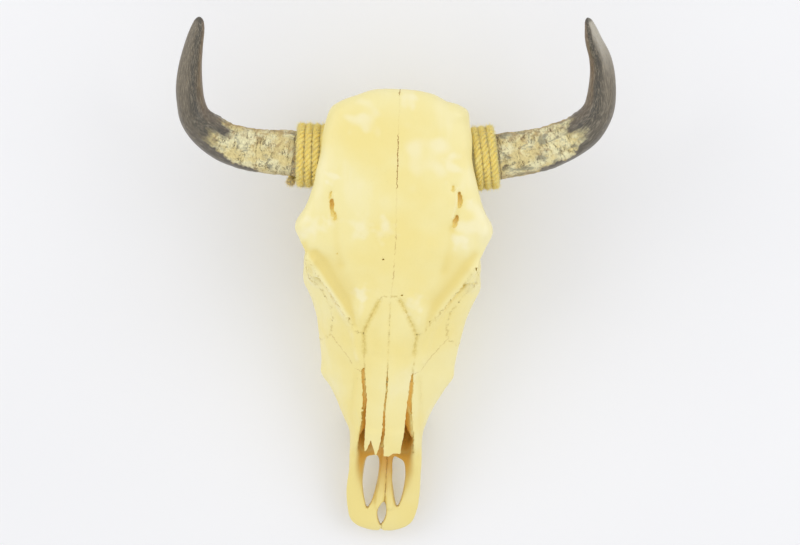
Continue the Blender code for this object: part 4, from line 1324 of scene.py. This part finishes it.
def make_fibres(side, material):
    """Loose hairs that lie along the rope and stand off a little, most of them on its open side."""
    random = np.random.default_rng(FIBRE_SEED[side])
    count = round(FIBRES_PER_TURN * ROPE_TURNS[side])
    wound = random.uniform(0.02, ROPE_TURNS[side] - 0.02, count)
    centres, ahead, out, beside = rope_frames(side, wound)
    turn = random.uniform(-0.6 * math.pi, 0.6 * math.pi, count)[:, None]
    away = out * np.cos(turn) + beside * np.sin(turn)
    round_rope = beside * np.cos(turn) - out * np.sin(turn)
    lean = random.choice([-1.0, 1.0], count)[:, None]
    ways = unit(lean * (ahead + 0.7 * round_rope) + away * random.uniform(0.0, 0.8, count)[:, None]
                + 0.35 * random.normal(size=(count, 3)))
    bends = unit(random.normal(size=(count, 3))) * 0.35
    reach = random.uniform(1.5, 5.0, count) * random.choice([1, 1, 1, 1.5], count)
    whiskers("_fibres", side, centres + away * FIBRE_ROOT, ways, bends, reach, FIBRE_RADIUS, material)
    count = round(FIBRES_PER_TURN * 0.9)
    wound = ROPE_TURNS[side] - random.uniform(0.02, 1.0, count)
    centres, _, out, _ = rope_frames(side, wound)
    tilt = random.uniform(-0.2, 1.2, count)[:, None]
    away = rope_axis(side)[1] * np.cos(tilt) + out * np.sin(tilt)
    ways = unit(away + 0.6 * random.normal(size=(count, 3)))
    bends = unit(random.normal(size=(count, 3))) * 0.5
    reach = random.uniform(1.2, 3.2, count)
    roots = centres + away * EDGE_FIBRE_ROOT
    whiskers("_edge_fibres", side, roots, ways, bends, reach, EDGE_FIBRE_RADIUS, material)


def make_frayed_end(side, material):
    """The rope's cut end, teased out into a short tan tuft."""
    random = np.random.default_rng(FRAY_SEED[side])
    count = FRAY_COUNT[side]
    turn_back = random.uniform(0.005, 0.045, count)
    centres, ahead, out, beside = rope_frames(side, ROPE_TURNS[side] - turn_back)
    turn = random.uniform(0, 2 * math.pi, count)[:, None]
    spread = np.sqrt(random.uniform(0, 1, count))[:, None]
    away = (out * np.cos(turn) + beside * np.sin(turn)) * spread
    ways = unit(out * 0.9 + ahead * 0.2 + away * 0.5 + 0.55 * random.normal(size=(count, 3)))
    bends = unit(random.normal(size=(count, 3))) * 0.6
    reach = random.uniform(1.6, 4.2, count)
    whiskers("_frayed_end", side, centres + away * FRAY_ROOT, ways, bends, reach, FRAY_RADIUS, material)


# ---------------------------------------------------------------- shader nodes

class Tone:
    """A shader value or colour that can be added, subtracted and multiplied."""

    def __init__(self, nodes, socket):
        self.nodes = nodes
        self.socket = socket

    def __add__(self, other):
        return self.nodes.math("ADD", self, other)

    def __sub__(self, other):
        return self.nodes.math("SUBTRACT", self, other)

    def __rsub__(self, other):
        return self.nodes.math("SUBTRACT", other, self)

    def __mul__(self, other):
        return self.nodes.math("MULTIPLY", self, other)

    def __abs__(self):
        return self.nodes.math("ABSOLUTE", self)


class Nodes:
    """Short ways to add shader nodes to one material."""

    def __init__(self, name):
        self.material = bpy.data.materials.new(name)
        self.material.use_nodes = True
        self.tree = self.material.node_tree
        self.surface = self.tree.nodes["Principled BSDF"]

    def feed(self, node, inputs):
        """Link or set inputs of a node, given by name or number."""
        for key, value in inputs.items():
            if isinstance(value, Tone):
                self.tree.links.new(value.socket, node.inputs[key])
            else:
                node.inputs[key].default_value = value

    def add(self, kind, output, inputs, **settings):
        node = self.tree.nodes.new("ShaderNode" + kind)
        for setting, value in settings.items():
            setattr(node, setting, value)
        self.feed(node, inputs)
        return Tone(self, node.outputs[output])

    def place(self):
        return self.add("TexCoord", "Object", {})

    def attribute(self, name, output="Fac"):
        return self.add("Attribute", output, {}, attribute_name=name)

    def math(self, operation, a, b=0.0):
        return self.add("Math", 0, {0: a, 1: b}, operation=operation)

    def noise(self, vector, scale, detail=4.0, roughness=0.55, stretch=None, distortion=0.0):
        if stretch:
            vector = self.add("Mapping", 0, {"Vector": vector, "Scale": stretch})
        return self.add("TexNoise", "Fac", {"Vector": vector, "Scale": scale, "Detail": detail,
                                            "Roughness": roughness, "Distortion": distortion})

    def between(self, value, start, end, low=0.0, high=1.0):
        inputs = {0: value, 1: start, 2: end, 3: low, 4: high}
        return self.add("MapRange", 0, inputs, interpolation_type="SMOOTHSTEP")

    def mix(self, share, first, second):
        return self.add("Mix", 2, {0: share, 6: first, 7: second}, data_type="RGBA")

    def coat(self, under, over, value, start, end, most=1.0):
        """One colour over another, from none to most of it as a value goes from start to end."""
        return self.mix(self.between(value, start, end, 0.0, most), under, over)

    def bump(self, height, distance, strength=1.0, below=None):
        inputs = {"Height": height, "Distance": distance, "Strength": strength}
        if below:
            inputs["Normal"] = below
        return self.add("Bump", 0, inputs)

    def finish(self, colour, roughness, normal):
        self.feed(self.surface, {"Base Color": colour, "Roughness": roughness, "Normal": normal})
        return self.material


def from_srgb(red, green, blue):
    """A colour given as 8-bit values, in the linear values that shaders use."""
    linear = [((v / 255 + 0.055) / 1.055) ** 2.4 if v > 10 else v / 255 / 12.92 for v in (red, green, blue)]
    return (*linear, 1.0)


# ---------------------------------------------------------------- materials

BONE_CREAM = from_srgb(243, 231, 166)
# paler: random patches and spots, and painted light on swells and ridges
BONE_PALE = from_srgb(246, 238, 196)
# deeper yellow: random patches, and painted shade in broad hollows
BONE_DEEP_AND_SHADE = from_srgb(242, 225, 146)
# painted shade in hollows and inside the nose, and the colour of the pores
BONE_SHADE_AND_PORE = from_srgb(222, 190, 104)
# painted shade deep in the nose
BONE_NOSE_SHADE = from_srgb(224, 170, 66)
BONE_OLIVE = from_srgb(214, 194, 106)
# painted shade in grooves and over the front of the nose
BONE_LOW_SHADE = from_srgb(233, 211, 122)
BONE_SEAM = from_srgb(206, 180, 98)
BONE_CRACK = from_srgb(170, 126, 52)
# painted shade in pits: first at their rims, then in their depths
BONE_PIT_EDGE_SHADE = from_srgb(240, 216, 124)
BONE_PIT_SHADE = from_srgb(228, 188, 94)
TOOTH_PALE = from_srgb(246, 240, 214)
TOOTH_STAIN = from_srgb(176, 140, 84)

HORN_TIP = from_srgb(110, 101, 86)
HORN_INNER = from_srgb(112, 94, 76)
HORN_STREAK = from_srgb(156, 146, 126)
HORN_BONE_GREY = from_srgb(188, 182, 168)
HORN_FLECK = from_srgb(150, 132, 104)
HORN_GREY = from_srgb(134, 133, 116)
HORN_DARK = from_srgb(72, 68, 60)
HORN_BROWN = from_srgb(180, 148, 96)
HORN_PALE = from_srgb(236, 218, 154)
HORN_CREAM = from_srgb(250, 242, 194)
HORN_CRACK = from_srgb(112, 86, 54)

ROPE_GOLD = from_srgb(255, 236, 130)
ROPE_LIGHT = from_srgb(255, 242, 156)
# painted shade between the yarns
ROPE_BROWN_SHADE = from_srgb(252, 214, 98)
ROPE_FUZZ = from_srgb(255, 244, 190)
ROPE_TAN = from_srgb(246, 226, 176)
ROPE_FRAY = from_srgb(250, 238, 200)

FLOOR_PALE = from_srgb(240, 240, 242)
FLOOR_PALER = from_srgb(243, 243, 245)


def bone_material():
    """Dry cream bone: paler patches and spots, painted light on swells and ridges, painted shade in hollows,
    grooves, pits and the nose, pores and fine grain.
    """
    n = Nodes("dry_bone")
    place = n.place()
    patches = n.noise(place, 30, 4.0, 0.5, (1.0, 0.35, 1.0), 0.3)
    # painted light on the bone's swells and painted shade in its broad hollows, with random patches
    lit_swells_and_patches = n.attribute("swell") * 0.7 + (n.noise(place, 11, 3.0, 0.5) - 0.5)
    low = n.attribute("carved")
    # worn: random pale patches, with painted light on swells and ridges
    worn = lit_swells_and_patches * 0.8 + (patches - 0.5) + low * 0.12
    colour = n.coat(BONE_DEEP_AND_SHADE, BONE_CREAM, lit_swells_and_patches, -0.16, 0.16)
    colour = n.coat(colour, BONE_PALE, worn, 0.06, 0.36, 0.45)
    colour = n.mix(n.attribute("pale_spotted") * n.between(patches, 0.25, 0.75, 0.5, 0.8), colour, BONE_PALE)
    # painted shade: deeper yellow in grooves and over the front of the nose
    colour = n.coat(colour, BONE_LOW_SHADE, low, -0.2, -2.6, 0.8)
    # painted shade: deeper yellow where much solid bone lies near, in hollows
    colour = n.mix(n.between(n.attribute("hollow"), 0.52, 0.72) * 0.8, colour, BONE_SHADE_AND_PORE)
    spotty = n.between(n.noise(place, 260, 4.0, 0.65), 0.38, 0.62, 0.05, 0.7)
    colour = n.mix(n.attribute("groove") * spotty, colour, BONE_OLIVE)
    dotted = n.between(n.noise(place, 170, 4.0, 0.65), 0.46, 0.62, 0.0, 0.6)
    colour = n.mix(n.attribute("border") * dotted, colour, BONE_SEAM)
    # painted shade: deeper amber the further below the outer surface, in slots and vessel holes
    depth = n.attribute("depth")
    colour = n.coat(colour, BONE_PIT_EDGE_SHADE, depth, 0.6, 2.0)
    colour = n.coat(colour, BONE_PIT_SHADE, depth, 1.8, 5.0)
    # painted shade: amber inside the nose, under the nasal bones and beside their slit
    inside = n.attribute("inside")
    colour = n.coat(colour, BONE_SHADE_AND_PORE, inside, 0.05, 0.6, 0.85)
    colour = n.coat(colour, BONE_NOSE_SHADE, inside, 0.45, 1.0)
    stains = n.noise(place, 160, 4.0, 0.6, (1, 1, 0.3))
    tooth = n.coat(TOOTH_PALE, TOOTH_STAIN, stains, 0.5, 0.66, 0.6)
    colour = n.mix(n.attribute("tooth"), colour, tooth)
    line = seam_line(n, place)
    colour = n.mix(line, colour, BONE_CRACK)
    pores = n.between(n.add("TexVoronoi", "Distance", {"Vector": place, "Scale": 520}), 0.16, 0.05)
    porous = pores * n.between(n.noise(place, 30, 2.0), 0.52, 0.66)
    colour = n.mix(porous * 0.35, colour, BONE_SHADE_AND_PORE)
    relief = n.bump(n.noise(place, 420, 5.0, 0.6, (1, 0.25, 1)), 0.0005, 0.35)
    relief = n.bump(n.noise(place, 1500, 3.0, 0.6), 0.0002, 0.3, relief)
    relief = n.bump(1.0 - porous, 0.0004, 0.6, relief)
    relief = n.bump(1.0 - line, 0.0006, 0.6, relief)
    return n.finish(colour, n.between(patches, 0.3, 0.7, 0.42, 0.34), relief)


def seam_line(n, place):
    """A thin wandering line along a painted seam, broken where the seam is faint."""
    wander = (n.noise(place, 260, 3.0, 0.7) - 0.5) * 5.0
    off_line = abs(n.attribute("seam") + wander)
    breaks = n.between(n.noise(place, 120, 2.0), 0.34, 0.52)
    strength = n.attribute("seam_strength")
    whole = n.math("MAXIMUM", breaks, n.between(strength, 0.6, 0.9))
    return n.between(off_line, 0.75, 0.2) * strength * whole


def lines_of(n, vector, scale, thickness, stretch=None):
    """Wandering fine lines: where a noise passes through its middle value."""
    off = abs(n.noise(vector, scale, 4.0, 0.6, stretch) - 0.5)
    return n.between(off, thickness, 0.0)


def grey_horn(n, spot, along, is_left):
    """The horn past its pale base: dark down the middle, lighter outside, browner inside."""
    fine = n.noise(spot, 1.3, 4.0, 0.7, (0.05, 1, 1))
    broad = n.noise(spot, 0.22, 4.0, 0.6, (0.12, 1, 1))
    side = n.attribute("bend_side") + (broad - 0.5)
    from_tip = n.attribute("from_tip")
    grey = n.coat(HORN_DARK, HORN_TIP, side, 0.0, -0.7)
    grey = n.coat(grey, HORN_INNER, side, 0.1, 0.6)
    grey = n.coat(grey, HORN_DARK, along, 185.0, 105.0, 0.7)
    edge = n.between(side, -0.2, -0.7) * n.between(from_tip, 80.0, 15.0, 0.0, 0.9)
    grey = n.mix(edge * is_left, grey, HORN_BONE_GREY)
    grey = n.coat(grey, HORN_STREAK, fine, 0.48, 0.66, 0.75)
    grey = n.coat(grey, HORN_DARK, fine, 0.46, 0.32, 0.65)
    specks = n.noise(spot, 0.9, 4.0, 0.7, (0.35, 1, 1))
    grey = n.coat(grey, HORN_FLECK, specks, 0.57, 0.68, 0.55)
    return n.coat(grey, HORN_DARK, from_tip, 6.0, 2.5, 0.7)


def pale_horn(n, spot, along, is_left):
    """The worn base: cream and straw patches, brown flakes, grey veins and fine cracks, with painted shade
    along its sides.
    """
    cloud = n.noise(spot, 0.07, 5.0, 0.6, (0.7, 0.8, 0.8))
    pale = n.coat(HORN_PALE, HORN_CREAM, cloud, 0.40, 0.56)
    flakes = n.noise(spot, 0.17, 6.0, 0.66, (0.7, 0.6, 0.6), 0.3)
    side = n.attribute("bend_side")
    pale = n.coat(pale, HORN_BROWN, flakes + side * 0.07, 0.50, 0.66, 0.7)
    veins = n.noise(spot, 0.075, 6.0, 0.68, (0.6, 1, 1), 0.4)
    pale = n.coat(pale, HORN_GREY, veins + is_left * 0.03, 0.54, 0.66, 0.75)
    # painted shade: browner along the two sides seen edge-on from above, which turn from the light
    rim = n.between(abs(side), 0.7, 1.0, 0.0, 0.55)
    pale = n.mix(rim * n.between(flakes, 0.36, 0.56, 0.4, 1.0), pale, HORN_BROWN)
    present = n.between(n.noise(spot, 0.09, 3.0), 0.40, 0.54)
    around = lines_of(n, spot, 0.16, 0.018, (1, 0.35, 0.35))
    cracks = n.math("MAXIMUM", around * present, lines_of(n, spot, 0.5, 0.022) * 0.35)
    pale = n.mix(cracks, pale, HORN_CRACK)
    wavy = along + (flakes - 0.5) * 9.0
    banded = n.noise(spot, 0.5, 5.0, 0.7, (1.6, 0.5, 0.5))
    collar = n.coat(HORN_GREY, HORN_BROWN, banded, 0.42, 0.54)
    collar = n.coat(collar, HORN_PALE, banded, 0.56, 0.66)
    pale = n.mix(n.between(wavy, 12.5, 9.5) * 0.9, pale, collar)
    return n.coat(pale, HORN_CRACK, abs(wavy - 12.0), 1.0, 0.2, 0.8), cracks


def pale_reach(n, spot, is_left):
    """How far from the rope the pale part goes: far on top, less on the bend's outer rim."""
    tongues = n.noise(spot, 0.14, 5.0, 0.65, (0.2, 1, 1)) - 0.5
    patchy = n.noise(spot, 0.06, 5.0, 0.65) - 0.5
    wander = tongues * 36.0 + patchy * 44.0
    side = n.attribute("bend_side")
    rim = n.between(side + patchy * 0.8, -0.60, -1.0, 0.0, 66.0)
    to_tongue = abs(side - 0.35 + tongues * 1.2)
    tongue = n.between(to_tongue, 0.34, 0.08, 0.0, 14.0)
    return 106.0 - rim - tongue + wander + is_left * 2.0


def horn_material():
    """Horn: cracked pale flakes at the base, dark at the bend, streaked grey to the tip."""
    n = Nodes("old_horn")
    own = n.attribute("horn_place", "Vector")
    along = n.add("SeparateXYZ", 0, {0: own})
    is_left = n.attribute("is_left")
    moved = n.add("CombineXYZ", 0, {"Z": is_left * LEFT_HORN_SHIFT})
    spot = n.add("VectorMath", 0, {0: own, 1: moved})
    base = n.between(along - pale_reach(n, spot, is_left), 12.0, -14.0)
    pale, cracks = pale_horn(n, spot, along, is_left)
    colour = n.mix(base, grey_horn(n, spot, along, is_left), pale)
    relief = n.bump(n.noise(own, 1.2, 5.0, 0.6, (0.05, 1, 1)), 0.0006, 0.35)
    relief = n.bump(n.noise(own, 0.7, 6.0, 0.7) * base, 0.0010, 0.7, relief)
    relief = n.bump(1.0 - cracks * base, 0.0010, 0.8, relief)
    return n.finish(colour, n.between(base, 0.0, 1.0, 0.38, 0.62), relief)


def rope_material():
    """Golden fibre: fine yarns along each strand, with painted shade between them."""
    n = Nodes("twisted_fibre")
    own = n.attribute("rope_place", "Vector")
    fine = n.noise(own, 1.6, 4.0, 0.65, (0.18, 1.6, 1))
    # painted shade: browner streaks between the yarns
    colour = n.coat(ROPE_BROWN_SHADE, ROPE_GOLD, fine, 0.35, 0.62)
    colour = n.coat(colour, ROPE_LIGHT, n.noise(own, 0.12, 3.0), 0.45, 0.7, 0.7)
    n.feed(n.surface, {"Sheen Weight": 0.25, "Sheen Roughness": 0.5})
    return n.finish(colour, n.between(fine, 0.3, 0.7, 0.95, 0.8), n.bump(fine, 0.0009, 0.9))


def soft_patches(name, scale, start, end, first, second, smoother, strength):
    """Two close colours in soft patches, with a little relief."""
    n = Nodes(name)
    tone = n.noise(n.place(), scale, 2.0)
    colour = n.coat(first, second, tone, start, end)
    roughness = n.between(tone, 0.3, 0.7, 0.9, smoother)
    return n.finish(colour, roughness, n.bump(tone, 0.0001, strength))


# ---------------------------------------------------------------- floor, light, camera

def make_floor():
    mesh = bpy.data.meshes.new("floor")
    corners = [(x * FLOOR_HALF, y * FLOOR_HALF, 0) for x, y in ((-1, -1), (1, -1), (1, 1), (-1, 1))]
    mesh.from_pydata(corners, [], [(0, 1, 2, 3)])
    mesh.materials.append(soft_patches("pale_floor", 1.2, 0.3, 0.7, FLOOR_PALE, FLOOR_PALER, 0.85, 0.1))
    floor = bpy.data.objects.new("floor", mesh)
    bpy.context.scene.collection.objects.link(floor)


def add_area_light(name, place, power):
    light = bpy.data.lights.new(name, "AREA")
    light.shape = "DISK"
    light.size = LIGHT_SIZE
    light.energy = power
    made = bpy.data.objects.new(name, light)
    made.location = place
    made.rotation_euler = (Vector(LIGHT_AIM) - Vector(place)).to_track_quat("-Z", "Y").to_euler()
    bpy.context.scene.collection.objects.link(made)


def make_light():
    """Two soft boxes and an even sky."""
    for name, (place, power) in LIGHTS.items():
        add_area_light(name, place, power)
    world = bpy.data.worlds.new("soft_sky")
    world.use_nodes = True
    background = world.node_tree.nodes["Background"]
    background.inputs["Color"].default_value = SKY_COLOUR
    background.inputs["Strength"].default_value = SKY_STRENGTH
    bpy.context.scene.world = world
    bpy.context.scene.view_settings.view_transform = "Standard"


def make_camera():
    """Straight above the skull, looking down at the forehead."""
    camera = bpy.data.cameras.new("camera")
    camera.sensor_width = 36.0
    camera.lens = CAMERA_LENS
    made = bpy.data.objects.new("camera", camera)
    made.location = (CAMERA_X * MM, CAMERA_Y * MM, CAMERA_HEIGHT)
    made.rotation_euler = (0, 0, CAMERA_TURN)
    bpy.context.scene.collection.objects.link(made)
    bpy.context.scene.camera = made


def main():
    make_camera()
    make_floor()
    make_light()
    make_bones(bone_material())
    horn = horn_material()
    rope = rope_material()
    fibre = soft_patches("loose_fibre", 300, 0.4, 0.6, ROPE_LIGHT, ROPE_FUZZ, 0.7, 0.2)
    frayed = soft_patches("frayed_fibre", 300, 0.4, 0.6, ROPE_TAN, ROPE_FRAY, 0.7, 0.2)
    for side in SIDES:
        make_horn(side, horn)
        make_strands(side, rope)
        make_fibres(side, fibre)
        make_frayed_end(side, frayed)


main()
